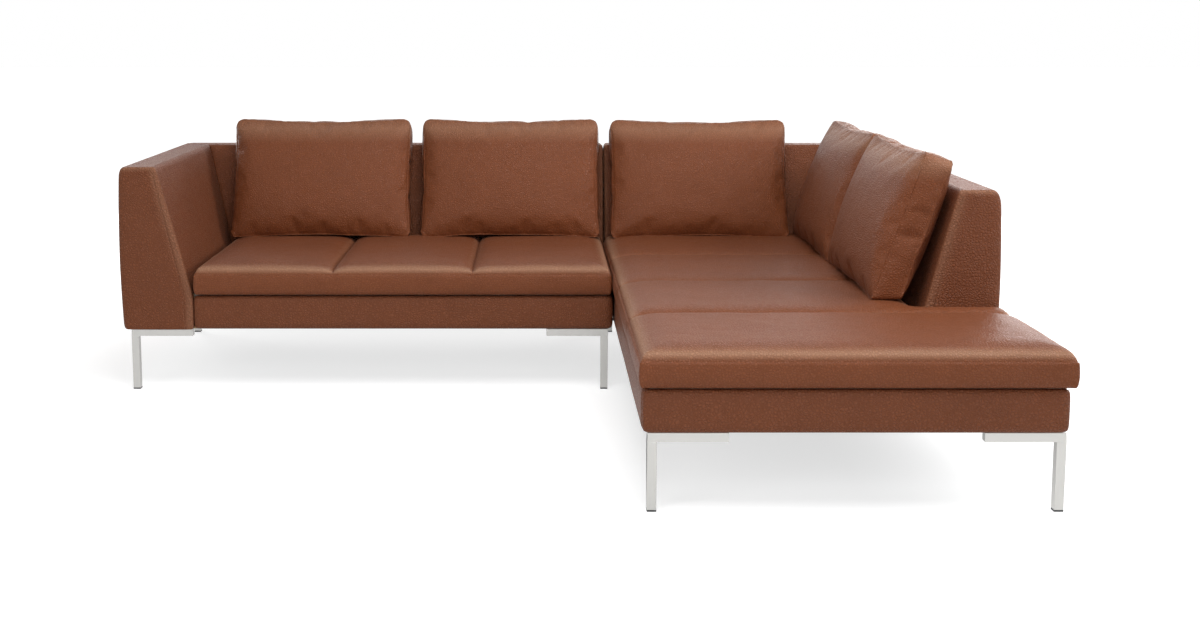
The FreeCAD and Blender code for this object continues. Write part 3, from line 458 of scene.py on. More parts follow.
def sew(bm, mark, width, depth):
    """Opens the marked edges into a valley, and returns the runs that they took."""
    bm.edges.index_update()
    paths = marked_paths(bm, mark)
    layer = bm.edges.layers.int["seam"]
    edges = [edge for edge in bm.edges if edge[layer] == mark]
    line = kdtree.KDTree(sum(len(path) for path in paths))
    for number, point in enumerate(point for path in paths for point in path):
        line.insert(point, number)
    line.balance()
    made = bmesh.ops.bevel(
        bm,
        geom=edges,
        offset=width / 2,
        offset_type="OFFSET",
        segments=2,
        profile=0.5,
        affect="EDGES",
        clamp_overlap=True,
        material=-1,
    )
    bm.normal_update()
    for vert in made["verts"]:
        in_valley = line.find(vert.co)[2] < width * VALLEY_FLOOR
        vert.co -= vert.normal * (depth if in_valley else -LIP * depth)
    return paths


print("seam tools: a lip of", LIP, "of the valley's depth")

# %% Finished pieces
def finished(name, bm, material, body, subdivisions=1, painted_sheen=None):
    """A bmesh as a smooth object of the scene that rides on a body of the model."""
    mesh = bpy.data.meshes.new(name)
    bm.to_mesh(mesh)
    bm.free()
    # each point's share of painted highlight, which the leather mixes into its colour
    if painted_sheen:
        painted_sheen_share = mesh.attributes.new("painted_sheen", "FLOAT", "POINT")
        for vert in mesh.vertices:
            painted_sheen_share.data[vert.index].value = painted_sheen(vert.co)
    mesh.materials.append(material)
    mesh.shade_smooth()
    piece = bpy.data.objects.new(name, mesh)
    bpy.context.scene.collection.objects.link(piece)
    if subdivisions:
        smooth = piece.modifiers.new("Rounded", "SUBSURF")
        smooth.levels = smooth.render_levels = subdivisions
    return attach(piece, body)


def upholstered(name, bm, material, body, nodes, painted_sheen=None):
    """A padded leather piece that stands for soft nodes of the model."""
    piece = finished(name, bm, material, body, painted_sheen=painted_sheen)
    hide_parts(*nodes)
    print(name, "made:", len(piece.data.polygons), "faces")
    return piece


# %% Stitches
# Stitches 5.4 mm long in a thread 1.1 mm thick, one every 7.5 mm, and how much they stand above the leather
STITCH_PITCH, STITCH_SHARE, HALF_THREAD, STITCH_LIFT = 0.0075, 0.36, 0.00055, 0.0001


def spaced(path, step):
    """Points at even steps along a run, with the way that it goes at each."""
    places = []
    left = step / 2
    for start, end in zip(path, path[1:]):
        run = end - start
        while left < run.length:
            places.append((start + run * (left / run.length), run.normalized()))
            left += step
        left -= run.length
    return places


def stitches(name, piece_mesh, paths, aside, towards, body):
    """A row of stitches beside each seam, on the side that lies towards a point."""
    surface = BVHTree.FromPolygons(
        [v.co for v in piece_mesh.vertices], [tuple(p.vertices) for p in piece_mesh.polygons]
    )
    bead = bmesh.new()
    bmesh.ops.create_icosphere(bead, subdivisions=1, radius=1)
    shape = bpy.data.meshes.new("bead")
    bead.to_mesh(shape)
    bead.free()
    size = Matrix.Diagonal((STITCH_PITCH * STITCH_SHARE, HALF_THREAD, HALF_THREAD, 1))
    bm = bmesh.new()
    for path in paths:
        for point, way in spaced(path, STITCH_PITCH):
            normal = surface.find_nearest(point)[1]
            side = way.cross(normal).normalized()
            if side.dot(towards - point) < 0:
                side = -side
            place, normal = surface.find_nearest(point + side * aside)[:2]
            first = len(bm.verts)
            bm.from_mesh(shape)
            bm.verts.ensure_lookup_table()
            across = normal.cross(way).normalized()
            along = across.cross(normal)
            turn = Matrix((along, across, normal)).transposed().to_4x4()
            move = Matrix.Translation(place + normal * STITCH_LIFT)
            bmesh.ops.transform(bm, matrix=move @ turn @ size, verts=bm.verts[first:])
    return finished(name, bm, thread, body, subdivisions=0)


print("stitches: one every", STITCH_PITCH * 1000, "mm")

# %% [markdown]
# ## Arms and backs
# The arm and the backs are board frames with padding under stretched leather. All four share one section: an
# upright outer face, a narrow top and an inner face that slopes. Each is made lying along X, as a box of
# squares whose points are drawn onto the section, and is then turned to its place on the sofa. Where two of
# them meet, their ends are cut at 45 degrees, so the top seam runs into the corner as it does on the sofa.

# %% Arm and back covers
# Heights of a wall's top, of the seat frame's deck and of the wall's lower edge
TOP, DECK, BOTTOM = 0.750, 0.322, 0.205
# How thick a wall is at its top and at its foot, and how far its outer face bows
TOP_THICK, FOOT = 0.129, 0.24128
BULGE = 0.008
# The seam up the plain end and the seam along the top, counted from the inner face
END_SEAM, END_SEAM_IN = 1, 0.030
TOP_SEAM, TOP_SEAM_IN = 2, 0.018


def width_share(z):
    """How much of the foot's thickness a wall has at a height."""
    return 1 - (1 - TOP_THICK / FOOT) * max(0, (z - DECK) / (TOP - DECK))


def wall(name, length, place, shoulder):
    """One padded wall. Local x runs from its plain end, y inwards from its outer face, z up."""
    low, high = Vector((0, 0, BOTTOM)), Vector((length, FOOT, TOP))
    # the extra loops lie where a corner turns and where a seam runs
    loops = (
        (0.0028, 0.006, 0.0115, 0.020),
        (0.006, 0.013, 0.026, 0.040, 0.054, FOOT - END_SEAM_IN, FOOT - TOP_SEAM_IN, FOOT - 0.008),
        (BOTTOM + 0.005, DECK, TOP - 0.040, TOP - 0.026, TOP - 0.016, TOP - 0.007),
    )
    bm = box_of_squares(low, high, 0.030, loops)
    mark_edges(
        bm, END_SEAM, lambda p: near(p.x, 0.0) and near(p.y, FOOT - END_SEAM_IN) and p.z < TOP - 0.015
    )
    mark_edges(bm, TOP_SEAM, lambda p: near(p.z, TOP) and near(p.y, FOOT - TOP_SEAM_IN) and p.x > 0.010)
    for vert in bm.verts:
        under = near(vert.co.z, BOTTOM) and 0.02 < vert.co.y < FOOT - 0.001 and vert.co.x > 0.019
        crest = shoulder if vert.co.y < FOOT / 2 else 0.013
        p = rounded(vert.co, low, high, (0.010, shoulder, 0.005), (0.0, 0.016, crest))
        thick = width_share(p.z)
        outer = BULGE * ((p.z - (TOP + BOTTOM) / 2) / ((TOP - BOTTOM) / 2)) ** 2
        y = outer + p.y * (thick * FOOT - outer) / FOOT
        # the foam under the leather: faces sink a little where they are stapled and swell between
        slack = noise.noise(Vector((p.x * 5, p.y * 5, p.z * 5 + length * 10)))
        y += 0.0011 * slack * math.sin(math.pi * min(1, max(0, (p.z - BOTTOM) / (TOP - BOTTOM))))
        # the far end is cut at 45 degrees for the mitre
        x = p.x * (1 - (y + 0.0004) / length)
        # the plain end swells a little between its seams
        x -= 0.0012 * math.sin(math.pi * p.y / FOOT) * max(0, 1 - p.x / 0.08)
        # the underside is drawn up 4 mm inside its rim, where it is stapled to the frame
        vert.co = Vector((x, y, p.z + (0.004 if under else 0)))
    bmesh.ops.transform(bm, matrix=place, verts=bm.verts)
    if place.determinant() < 0:
        bmesh.ops.recalc_face_normals(bm, faces=bm.faces)
    end_paths = sew(bm, END_SEAM, 0.006, 0.0028)
    top_paths = sew(bm, TOP_SEAM, 0.005, 0.0022)
    back_again = place.inverted()

    def painted_sheen(co):
        """Painted highlight along the edge of the plain end, at its top and up its slanted side, where the
        hide is tight.
        """
        p = back_again @ co
        end = max(0, 1 - abs(p.x - 0.004) / 0.012)
        crest = max(0, 1 - abs(p.z - TOP + 0.004) / 0.012)
        slanted = max(0, 1 - abs(p.y - width_share(p.z) * FOOT + 0.012) / 0.020)
        return 0.45 * max(end * crest, end * slanted)

    piece = upholstered(name, bm, frame_leather, "root", [f"{name}_cover"], painted_sheen)
    inside, above = place @ Vector((0, 0, 0.5)), place @ Vector((length / 2, 0, TOP))
    stitches(f"{name}_end_stitches", piece.data, end_paths, 0.0045, inside, "root")
    stitches(f"{name}_top_stitches", piece.data, top_paths, 0.0045, above, "root")


# %% Stand the arms and backs on the frame
left_low, left_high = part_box("left_arm_cover")
rear_low, rear_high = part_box("rear_back_cover")
side_low, side_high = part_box("side_back_cover")
join_low, join_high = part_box("left_back_cover")


def standing(origin, along, inwards):
    """A matrix that turns a wall's own x and y to two directions of the sofa."""
    return Matrix.Translation(origin) @ Matrix((along, inwards, Vector((0, 0, 1)))).transposed().to_4x4()


EAST, NORTH = Vector((1, 0, 0)), Vector((0, 1, 0))
# Name, length, outer corner of the plain end, the way along, the way inwards, and the shoulder's radius
WALLS = (
    ("left_arm", left_high.y - left_low.y, (left_low.x, left_low.y), NORTH, EAST, 0.032),
    ("left_back", join_high.x - join_low.x, (join_high.x, join_high.y), -EAST, -NORTH, 0.032),
    ("rear_back", rear_high.x - rear_low.x, (rear_low.x, rear_high.y), EAST, -NORTH, 0.046),
    ("side_back", side_high.y - side_low.y, (side_high.x, side_low.y), NORTH, -EAST, 0.046),
)
for name, length, corner, along, inwards, shoulder in WALLS:
    wall(name, length, standing(Vector((*corner, 0)), along, inwards), shoulder)

# %% [markdown]
# ## Plinth panels
# Below the seat cushions the frame is closed by low padded panels. They could be left as sharp boxes, but
# light on a soft edge is what tells leather over foam from painted board, so the outer edges are rounded and
# the long faces wander by half a millimetre.

# %% Plinth covers
# A panel's thickness and the radius of its soft edges
PANEL, SOFT = 0.022, 0.008


def panel(bm, low, high, outer_low, outer_high):
    """Adds one padded panel to a mesh. The radii name which of its faces show rounded edges."""
    part = box_of_squares(low, high, 0.024)
    faces_front = outer_low[1] > 0
    for vert in part.verts:
        p = rounded(vert.co, low, high, outer_low, outer_high)
        swell = 0.0008 * noise.noise(p * 6)
        vert.co = Vector((p.x, p.y + swell, p.z)) if faces_front else Vector((p.x + swell, p.y, p.z))
    mesh = bpy.data.meshes.new("panel")
    part.to_mesh(mesh)
    part.free()
    bm.from_mesh(mesh)
    bpy.data.meshes.remove(mesh)


left_plinth = bmesh.new()
low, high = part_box("left_plinth_cover")
panel(left_plinth, low, Vector((high.x, low.y + PANEL, high.z)), (0, SOFT, SOFT), (SOFT, 0, SOFT))
panel(left_plinth, Vector((high.x - PANEL, low.y + PANEL, low.z)), high, (0, 0, SOFT), (SOFT, 0, SOFT))
upholstered("left_plinth", left_plinth, frame_leather, "root", ["left_plinth_cover"])

chaise_plinth = bmesh.new()
low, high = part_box("chaise_plinth_cover")
behind = low.y + PANEL
inner_side = Vector((low.x + PANEL, high.y, high.z))
outer_side = Vector((high.x, side_low.y, high.z))
panel(chaise_plinth, low, Vector((high.x, behind, high.z)), (SOFT, SOFT, SOFT), (SOFT, 0, SOFT))
panel(chaise_plinth, Vector((low.x, behind, low.z)), inner_side, (SOFT, 0, SOFT), (0, 0, SOFT))
panel(chaise_plinth, Vector((high.x - PANEL, behind, low.z)), outer_side, (0, 0, SOFT), (SOFT, 0, SOFT))
upholstered("chaise_plinth", chaise_plinth, frame_leather, "root", ["chaise_plinth_cover"])

# %% [markdown]
# ## Seat cushions
# A seat cushion is a foam slab in a boxed cover: a top panel, a band all round, and channels sewn through the
# top so that it stays in place. The top swells between the channels and rolls down to the seam at its rim.
# Both shapes are quarter ellipses, which rise steeply at the thread and lie flat in the middle, as foam does.

# %% The top of a seat cushion
# Heights of the rim's seam and of the crown, and how far a roll reaches in from the rim and from a channel
SEAM, SEAT_TOP = 0.395, 0.430
ROLL, CHANNEL_ROLL, CHANNEL_DEPTH = 0.105, 0.070, 0.025
RIM_SEAM, CHANNEL_SEAM = 1, 2


def swelling(distance, reach):
    """0 at the thread and 1 past the reach, on a quarter ellipse."""
    share = min(1, max(0, distance / reach))
    return math.sqrt(1 - (1 - share) ** 2)


def puckers(along, distance, seed):
    """Small folds that fan out from a seam and die away within some centimetres."""
    wave = noise.noise(Vector((along * 28, seed, 0))) + 0.5 * noise.noise(Vector((along * 75, seed + 5, 0)))
    return wave * math.exp(-distance / 0.022) * min(1, distance / 0.004)


def seat_height(p, channels, axis, edges):
    """How high the sewn cushion's top is over a place of the plain slab.

    The channels cross the axis that is given. The edges function says how far a place is from the rim.
    """
    across, along = p[axis], p[1 - axis]
    rim = edges(p)
    near_channel = min(abs(across - c) for c in channels)
    fill = swelling(rim, ROLL)
    quilt = 1 - (CHANNEL_DEPTH / (SEAT_TOP - SEAM)) * (1 - swelling(near_channel, CHANNEL_ROLL))
    crown = 0.0020 * math.cos(math.pi * min(1, near_channel / 0.24))
    drift = 0.0016 * noise.noise(p * 7) + 0.0008 * noise.noise(p * 19)
    tucks = 0.0016 * puckers(along, near_channel, 3) * fill + 0.0012 * puckers(p.x + p.y, rim, 9)
    height = (SEAT_TOP - SEAM) * fill * quilt - crown * fill + (drift * fill + tucks)
    return SEAM + max(0, height)


def pull_at_channels(p, channels, axis):
    """How strongly a channel's thread pulls on the rim and the band at a place, from 0 to 1."""
    return max(math.exp(-(((p[axis] - c) / 0.016) ** 2)) for c in channels)


def rim_painted_sheen(edges, channels, axis):
    """The share of painted highlight: most on the roll over the rim's seam, and beside the channels, where
    the leather is pulled tight.
    """

    def painted_sheen(p):
        roll = 0.80 * math.exp(-(((edges(p) - 0.014) / 0.015) ** 2))
        lip = min(abs(abs(p[axis] - c) - 0.007) for c in channels)
        over_seam = min(1, max(0, (p.z - SEAM + 0.001) / 0.010))
        return max(roll, 0.45 * math.exp(-((lip / 0.005) ** 2))) * over_seam

    return painted_sheen


print("crown over the seam:", SEAT_TOP - SEAM, "m")

# %% The band and the seams of a seat cushion
def seat_cushion(name, bm, low, channels, axis, rim, on_x_side, pull_in, pull_down, ripples):
    """Shapes a marked slab, sews it, and gives back the piece with the runs of its two kinds of seam.

    A channel's thread pulls the band in and down, and ripples is the height of the band's own waves.
    """
    for vert in bm.verts:
        p = vert.co.copy()
        level = (p.z - low.z) / (SEAM - low.z)
        moved = p.copy()
        if level > 0.999:
            moved.z = seat_height(p, channels, axis, rim)
        if near(rim(p), 0):
            # the band swells between its two seams, and its lower edge is turned under
            if on_x_side(p):
                face = Vector((-1 if near(p.x, low.x) else 1, 0, 0))
            else:
                face = Vector((0, -1 if near(p.y, low.y) else 1, 0))
            band = math.sin(math.pi * level)
            under = max(0, 1 - (p.z - low.z) / 0.012)
            crossed = on_x_side(p) if axis == 1 else not on_x_side(p)
            pull = pull_at_channels(p, channels, axis) * crossed
            ripple = ripples * noise.noise(Vector((p.x * 9, p.y * 9, p.z * 14)))
            inwards = 0.0035 - 0.0035 * band + 0.006 * under * under
            inwards += pull_in * pull * (0.4 + 0.6 * level) - ripple * band
            moved -= face * inwards
            moved.z -= pull_down * pull * level
            moved.z += 0.0007 * noise.noise(Vector((p.x * 40, p.y * 40, 2))) * (level > 0.9)
        vert.co = moved
    rim_paths = sew(bm, RIM_SEAM, 0.0070, 0.0045)
    channel_paths = sew(bm, CHANNEL_SEAM, 0.0075, 0.0055)
    # the painted highlight on the roll over the rim and beside the channels
    painted_sheen = rim_painted_sheen(rim, channels, axis)
    piece = upholstered(f"{name}_cushion", bm, cushion_leather, "root", [f"{name}_cover"], painted_sheen)
    return piece, rim_paths, channel_paths


# %% Left seat cushion
low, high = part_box("left_seat_cover")
high.z = SEAM
length = high.x - low.x
left_channels = [low.x + length / 3, low.x + 2 * length / 3]
slab = box_of_squares(low, high, 0.0125, (left_channels, (), (low.z + 0.006, low.z + 0.014)))


def left_rim(p):
    """How far a place is from the rim of the left cushion."""
    return min(p.x - low.x, high.x - p.x, p.y - low.y, high.y - p.y)


def left_x_side(p):
    return near(p.x, low.x) or near(p.x, high.x)


def on_left_channel(p):
    return any(near(p.x, c) for c in left_channels) and low.y + 0.011 < p.y < high.y - 0.011


mark_edges(slab, RIM_SEAM, lambda p: near(p.z, SEAM) and near(left_rim(p), 0))
mark_edges(slab, CHANNEL_SEAM, lambda p: near(p.z, SEAM) and on_left_channel(p))
left_seat, rim_paths, channel_paths = seat_cushion(
    "left_seat", slab, low, left_channels, 0, left_rim, left_x_side, 0.0045, 0.0035, 0.0010
)
middle = (low + high) / 2
over = Vector((middle.x, middle.y, SEAT_TOP))
stitches("left_seat_rim_stitches", left_seat.data, rim_paths, 0.0065, over, "root")
for path in channel_paths:
    # a name may hold no minus sign, so m stands for one
    place = f"{round(path[0].x * 1000)}".replace("-", "m")
    beside = Vector((middle.x, path[0].y, SEAT_TOP))
    stitches(f"left_seat_channel_stitches_{place}", left_seat.data, [path], 0.006, beside, "root")
print("left seat cushion:", len(channel_paths), "channels")

# %% Chaise seat cushion
low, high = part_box("chaise_seat_cover")
high.z = SEAM
# The inner corner of the L, where the front end of the side back stands
BAY_X, BAY_Y = 1.1067, -0.5045
CHANNEL_STEP = 0.495
chaise_channels = [low.y + CHANNEL_STEP * (i + 1) for i in range(3)]
slab = bmesh.new()
corners = [(low.x, low.y), (high.x, low.y), (high.x, BAY_Y), (BAY_X, BAY_Y), (BAY_X, high.y), (low.x, high.y)]
lower_face = slab.faces.new([slab.verts.new((x, y, low.z)) for x, y in corners])
grown = bmesh.ops.extrude_face_region(slab, geom=[lower_face])
raised = [v for v in grown["geom"] if isinstance(v, bmesh.types.BMVert)]
bmesh.ops.translate(slab, vec=(0, 0, SEAM - low.z), verts=raised)
bmesh.ops.recalc_face_normals(slab, faces=slab.faces)
slice_at(slab, 0, [BAY_X])
slice_at(slab, 1, [BAY_Y] + chaise_channels)
slice_at(slab, 2, [low.z + 0.006, low.z + 0.014])
cut_evenly(slab, 0.0140)


def chaise_rim(p):
    """How far a place is from the L-shaped rim."""
    outside = min(p.x - low.x, high.x - p.x, p.y - low.y, high.y - p.y)
    notch = math.hypot(max(0, BAY_X - p.x), max(0, BAY_Y - p.y)) if p.x < BAY_X or p.y < BAY_Y else 0
    return min(outside, notch)


def chaise_x_side(p):
    return near(p.x, low.x) or near(p.x, high.x) or (near(p.x, BAY_X) and p.y > BAY_Y)


def on_chaise_channel(p):
    return any(near(p.y, c) for c in chaise_channels) and chaise_rim(p) > 0.011


mark_edges(slab, RIM_SEAM, lambda p: near(p.z, SEAM) and chaise_rim(p) < 1e-5)
mark_edges(slab, CHANNEL_SEAM, lambda p: near(p.z, SEAM) and on_chaise_channel(p))
chaise_seat, rim_paths, channel_paths = seat_cushion(
    "chaise_seat", slab, low, chaise_channels, 1, chaise_rim, chaise_x_side, 0.0050, 0.0040, 0.0012
)
over = Vector(((low.x + BAY_X) / 2, (low.y + high.y) / 2, SEAT_TOP))
# each channel's stitches lie on its front side
ahead = Vector((over.x, low.y - 9, SEAT_TOP))
stitches("chaise_seat_rim_stitches", chaise_seat.data, rim_paths, 0.0065, over, "root")
stitches("chaise_seat_channel_stitches", chaise_seat.data, channel_paths, 0.006, ahead, "root")
print("chaise seat cushion:", len(channel_paths), "channels")

# %% [markdown]
# ## Back cushions
# The five loose cushions are boxed: a front and a rear panel sewn to a band. Their soft look comes from the
# filling that presses the leather out while the thread holds it in, so they are blown up with Blender's
# cloth solver, which finds the folds by itself. The seam edges are told to shrink a little, as a tight
# thread does, and gravity is off, so that all of the force is the filling's. Each cushion starts from its
# own slight unevenness, so no two have the same folds. The solver may change the cushion's size a little, so
# the result is scaled back to the measured one before the cushion is set on the seat.

# %% Cushion sizes and starting shape
# Width and height between the seams, width of the band, and how far the two panels swell past the band
CUSHION_W, CUSHION_H, CUSHION_E = 0.662, 0.416, 0.098
FRONT_CROWN, REAR_CROWN = 0.050, 0.045
LEAN = math.radians(19)
# The start is a little small, because the pressure makes it grow
START_SHRINK, CELL = 0.985, 0.0082
# Radii of the corners, how far the sides pull in, and how far the top dips
TOP_CORNER, FOOT_CORNER = 0.034, 0.014
SIDE_DRAW, TOP_DIP = 0.005, 0.004
BAND_SEAM = 1


def cushion_start(seed):
    """A crowned box with drawn-in sides, a dipped top and rounded corners, lying with its front face up."""
    half = Vector((CUSHION_W, CUSHION_H, CUSHION_E)) / 2 * START_SHRINK
    bm = box_of_squares(-half, half, CELL)

    def on_band(p):
        return near(abs(p.x), half.x) or near(abs(p.y), half.y)

    mark_edges(bm, BAND_SEAM, lambda p: near(abs(p.z), half.z) and on_band(p))
    for vert in bm.verts:
        corner = TOP_CORNER if vert.co.y > 0 else FOOT_CORNER
        p = rounded(vert.co, -half, half, (corner, FOOT_CORNER, 0), (corner, TOP_CORNER, 0))
        # the crown is blunt across and rounder upwards
        across, up = max(0, 1 - (p.x / half.x) ** 2), max(0, 1 - (p.y / half.y) ** 2)
        crown = FRONT_CROWN if p.z > 0 else REAR_CROWN
        p.z += math.copysign(crown * across ** 0.55 * up ** 0.85 * abs(p.z) / half.z, p.z)
        p.x -= math.copysign(SIDE_DRAW * up * abs(p.x) / half.x, p.x)
        p.y -= TOP_DIP * across * max(0, p.y / half.y) ** 2
        vert.co = p + noise.noise_vector(p * 9 + Vector((seed * 7, 0, 0))) * 0.0015
    return bm


# %% Blow a cushion up
# The solver's steps, and the furthest that a point may move
FRAMES, CAP = 18, 0.024


def blown_up(bm):
    """Presses the leather out from inside with the cloth solver, and caps how far a point may go."""
    seam = bm.edges.layers.int["seam"]
    sewn = [vert.index for vert in bm.verts if any(edge[seam] for edge in vert.link_edges)]
    start = bpy.data.meshes.new("cushion start")
    bm.to_mesh(start)
    cushion = bpy.data.objects.new("cushion start", start)
    bpy.context.scene.collection.objects.link(cushion)
    cushion.vertex_groups.new(name="thread").add(sewn, 1.0, "REPLACE")
    cloth = cushion.modifiers.new("Filling", "CLOTH")
    hide = cloth.settings
    hide.quality = 5
    hide.mass = 0.3
    hide.tension_stiffness = hide.compression_stiffness = 16
    hide.shear_stiffness = 6
    hide.bending_stiffness = 3
    hide.tension_damping = hide.compression_damping = hide.shear_damping = 10
    hide.air_damping = 5
    hide.use_pressure = True
    hide.uniform_pressure_force = 1.6
    hide.effector_weights.gravity = 0
    hide.vertex_group_shrink = "thread"
    hide.shrink_min = 0.0
    hide.shrink_max = 0.012
    cloth.point_cache.frame_start = 1
    cloth.point_cache.frame_end = FRAMES
    for frame_number in range(1, FRAMES + 1):
        bpy.context.scene.frame_set(frame_number)
    pressed = cushion.evaluated_get(bpy.context.evaluated_depsgraph_get())
    for vert, moved in zip(bm.verts, pressed.data.vertices):
        step = moved.co - vert.co
        vert.co += step * min(1, CAP / max(step.length, 1e-6))
    bpy.data.objects.remove(cushion)
    bpy.context.scene.frame_set(1)


def fitted(bm):
    """Scales a blown-up cushion so that its seams have the measured width and height, and its crowns too."""
    seam = bm.edges.layers.int["seam"]
    sewn = [vert.co for vert in bm.verts if any(edge[seam] for edge in vert.link_edges)]
    everywhere = [vert.co for vert in bm.verts]
    sizes = (CUSHION_W, CUSHION_H + 0.005, CUSHION_E + FRONT_CROWN + REAR_CROWN)
    starts = (0.0, 0.0, -REAR_CROWN)
    spans = []
    for axis, points in enumerate((sewn, sewn, everywhere)):
        places = [co[axis] for co in points]
        spans.append((min(places), max(places)))
    for vert in bm.verts:
        for axis, (low, high) in enumerate(spans):
            vert.co[axis] = starts[axis] + (vert.co[axis] - low) / (high - low) * sizes[axis]


print("back cushions:", CUSHION_W, "by", CUSHION_H, "m, leaning by", round(math.degrees(LEAN)), "degrees")

# %% Set the cushions on the seat
# Where a cushion stands: how far its rear bottom edge is from the outer face of the back, and its height.
# The third one stands on the chaise's crown, which is lower at the rear.
STAND, REST = 0.27583, 0.4303
REAR_STAND, REAR_REST = 0.27664, 0.42722
# The slope of a back's inner face, and how far from a surface the leather starts to give way: from the
# seat or a neighbour, and from the back
WALL_SLOPE = math.radians(14.7)
ON_SEAT, ON_WALL = 0.003, 0.004


def pressed_out(height, softness):
    """A height over a firm surface for a soft point, which comes to rest on it and never goes through."""
    return (height + math.sqrt(height * height + softness * softness)) / 2 - softness * 0.12


def cushion(number, wall_line, start, stand, rest, seed, sideways=False):
    """Makes one back cushion and sets it on the seat, leaning against its wall."""
    bm = cushion_start(seed)
    blown_up(bm)
    fitted(bm)
    cosine, sine = math.cos(LEAN), math.sin(LEAN)
    if sideways:
        across, up, front = -NORTH, Vector((sine, 0, cosine)), Vector((-cosine, 0, sine))
        origin = Vector((wall_line - stand, start + CUSHION_W, rest))
        back = Vector((wall_line - FOOT, 0, DECK))
    else:
        across, up, front = EAST, Vector((0, sine, cosine)), Vector((0, -cosine, sine))
        origin = Vector((start, wall_line - stand, rest))
        back = Vector((0, wall_line - FOOT, DECK))
    level = Vector((0, 0, 1))
    out = front - level * front.z
    off_wall = (out.normalized() * math.cos(WALL_SLOPE) + level * math.sin(WALL_SLOPE)).normalized()
    # a neighbour or an arm stops the band from swelling much past the cushion's width
    room = 0.0 if sideways else 0.0045
    for vert in bm.verts:
        u, v, w = vert.co
        u = pressed_out(u + room, ON_SEAT)
        u = CUSHION_W + room - pressed_out(CUSHION_W + 2 * room - u, ON_SEAT)
        # the lower edge gives way to the seat, so the band under it lies level
        v -= w * math.tan(LEAN) * max(0, 1 - v / CUSHION_H) ** 1.2
        p = origin + across * u + up * v + front * w
        gap = (p - back).dot(off_wall)
        p += off_wall * (pressed_out(gap, ON_WALL) - gap)
        height = p.z - rest
        sunk = max(0, -height)
        p.z = rest + pressed_out(height, ON_SEAT)
        # the leather that the seat holds back bulges out at the front
        p += out.normalized() * (0.15 * sunk if w > CUSHION_E / 2 else 0)
        vert.co = p
    sew(bm, BAND_SEAM, 0.0065, 0.0034)
    name = f"back_cushion_{number}"
    top = rest + CUSHION_H * cosine

    def painted_sheen(p):
        """Painted highlight along the upper edges."""
        return 0.45 * max(0, 1 - abs(p.z - top) / 0.05)

    upholstered(name, bm, cushion_leather, name, [f"{name}_cover", f"{name}_filling"], painted_sheen)


# The first two stand on the left seat, the third in the corner, and the last two lean to the side back
NEXT = 0.703
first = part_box("back_cushion_1_cover")[0].x
for number, start, seed in ((1, first, 1), (2, first + NEXT, 2)):
    cushion(number, join_high.y, start, STAND, REST, seed)
cushion(3, join_high.y, rear_low.x + 0.016, REAR_STAND, REAR_REST, 3)
for number, start, seed in ((4, side_low.y + 0.666, 4), (5, side_low.y + 0.002, 5)):
    cushion(number, side_high.x, start, STAND, REST, seed, sideways=True)

# %% [markdown]
# ## Legs
# Each leg is a square tube post under the end of a square tube arm. Drawn tube always has slightly rounded
# edges, and they carry a bright line of light that a sharp edge can't. So the measured tubes are copied,
# their loose triangles are joined up, and their long edges get a small bevel.

# %% Leg tubes
# The tube's width and the radius that drawing leaves on its edges
TUBE, DRAWN_EDGE = 0.024, 0.0012
LEGS = [name for name in frame["nodes"] if name.startswith("leg_") and SLOT_OF[name] == "satin_steel"]


def long_edge(edge, low, high):
    """Whether an edge of a leg runs along a corner of its arm or its post."""
    middle = (edge.verts[0].co + edge.verts[1].co) / 2
    on_x = near(middle.x, low.x) or near(middle.x, high.x)
    on_y = near(middle.y, low.y) or near(middle.y, high.y)
    on_z = near(middle.z, low.z) or near(middle.z, high.z) or near(middle.z, high.z - TUBE)
    nearest_end = low.x if middle.x < (low.x + high.x) / 2 else high.x
    on_post = near(abs(middle.x - nearest_end), TUBE)
    if edge.calc_length() < 0.02 or len(edge.link_faces) != 2:
        return False
    return on_x + on_y + on_z + on_post >= 2 and edge.calc_face_angle() > math.radians(86)


for name in LEGS:
    bm = bmesh.new()
    bm.from_mesh(frame["nodes"][name].data)
    bmesh.ops.remove_doubles(bm, verts=bm.verts, dist=1e-5)
    flat = [edge for edge in bm.edges if len(edge.link_faces) == 2 and edge.calc_face_angle() < 0.02]
    bmesh.ops.dissolve_edges(bm, edges=flat, use_verts=False)
    low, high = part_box(name)
    bmesh.ops.bevel(
        bm,
        geom=[edge for edge in bm.edges if long_edge(edge, low, high)],
        offset=DRAWN_EDGE,
        offset_type="OFFSET",
        segments=2,
        profile=0.5,
        affect="EDGES",
        clamp_overlap=True,
        material=-1,
    )
    for face in bm.faces:
        face.material_index = 1 if face.calc_center_median().z > high.z - TUBE - 0.0001 else 0
    piece = finished(f"{name}_tubes", bm, post_steel, "root", subdivisions=0)
    piece.data.materials.append(arm_steel)
    sharp = piece.modifiers.new("Flat faces", "WEIGHTED_NORMAL")
    sharp.keep_sharp = True
    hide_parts(name)
print("legs:", len(LEGS))

# %% [markdown]
# ## Dust covers
# The underside of each module is closed by thin black cloth, stapled round the frame. It hangs a few
# millimetres between the rails, which is all that shows of it, so a fine grid that sags away from its
# stapled edge says enough.

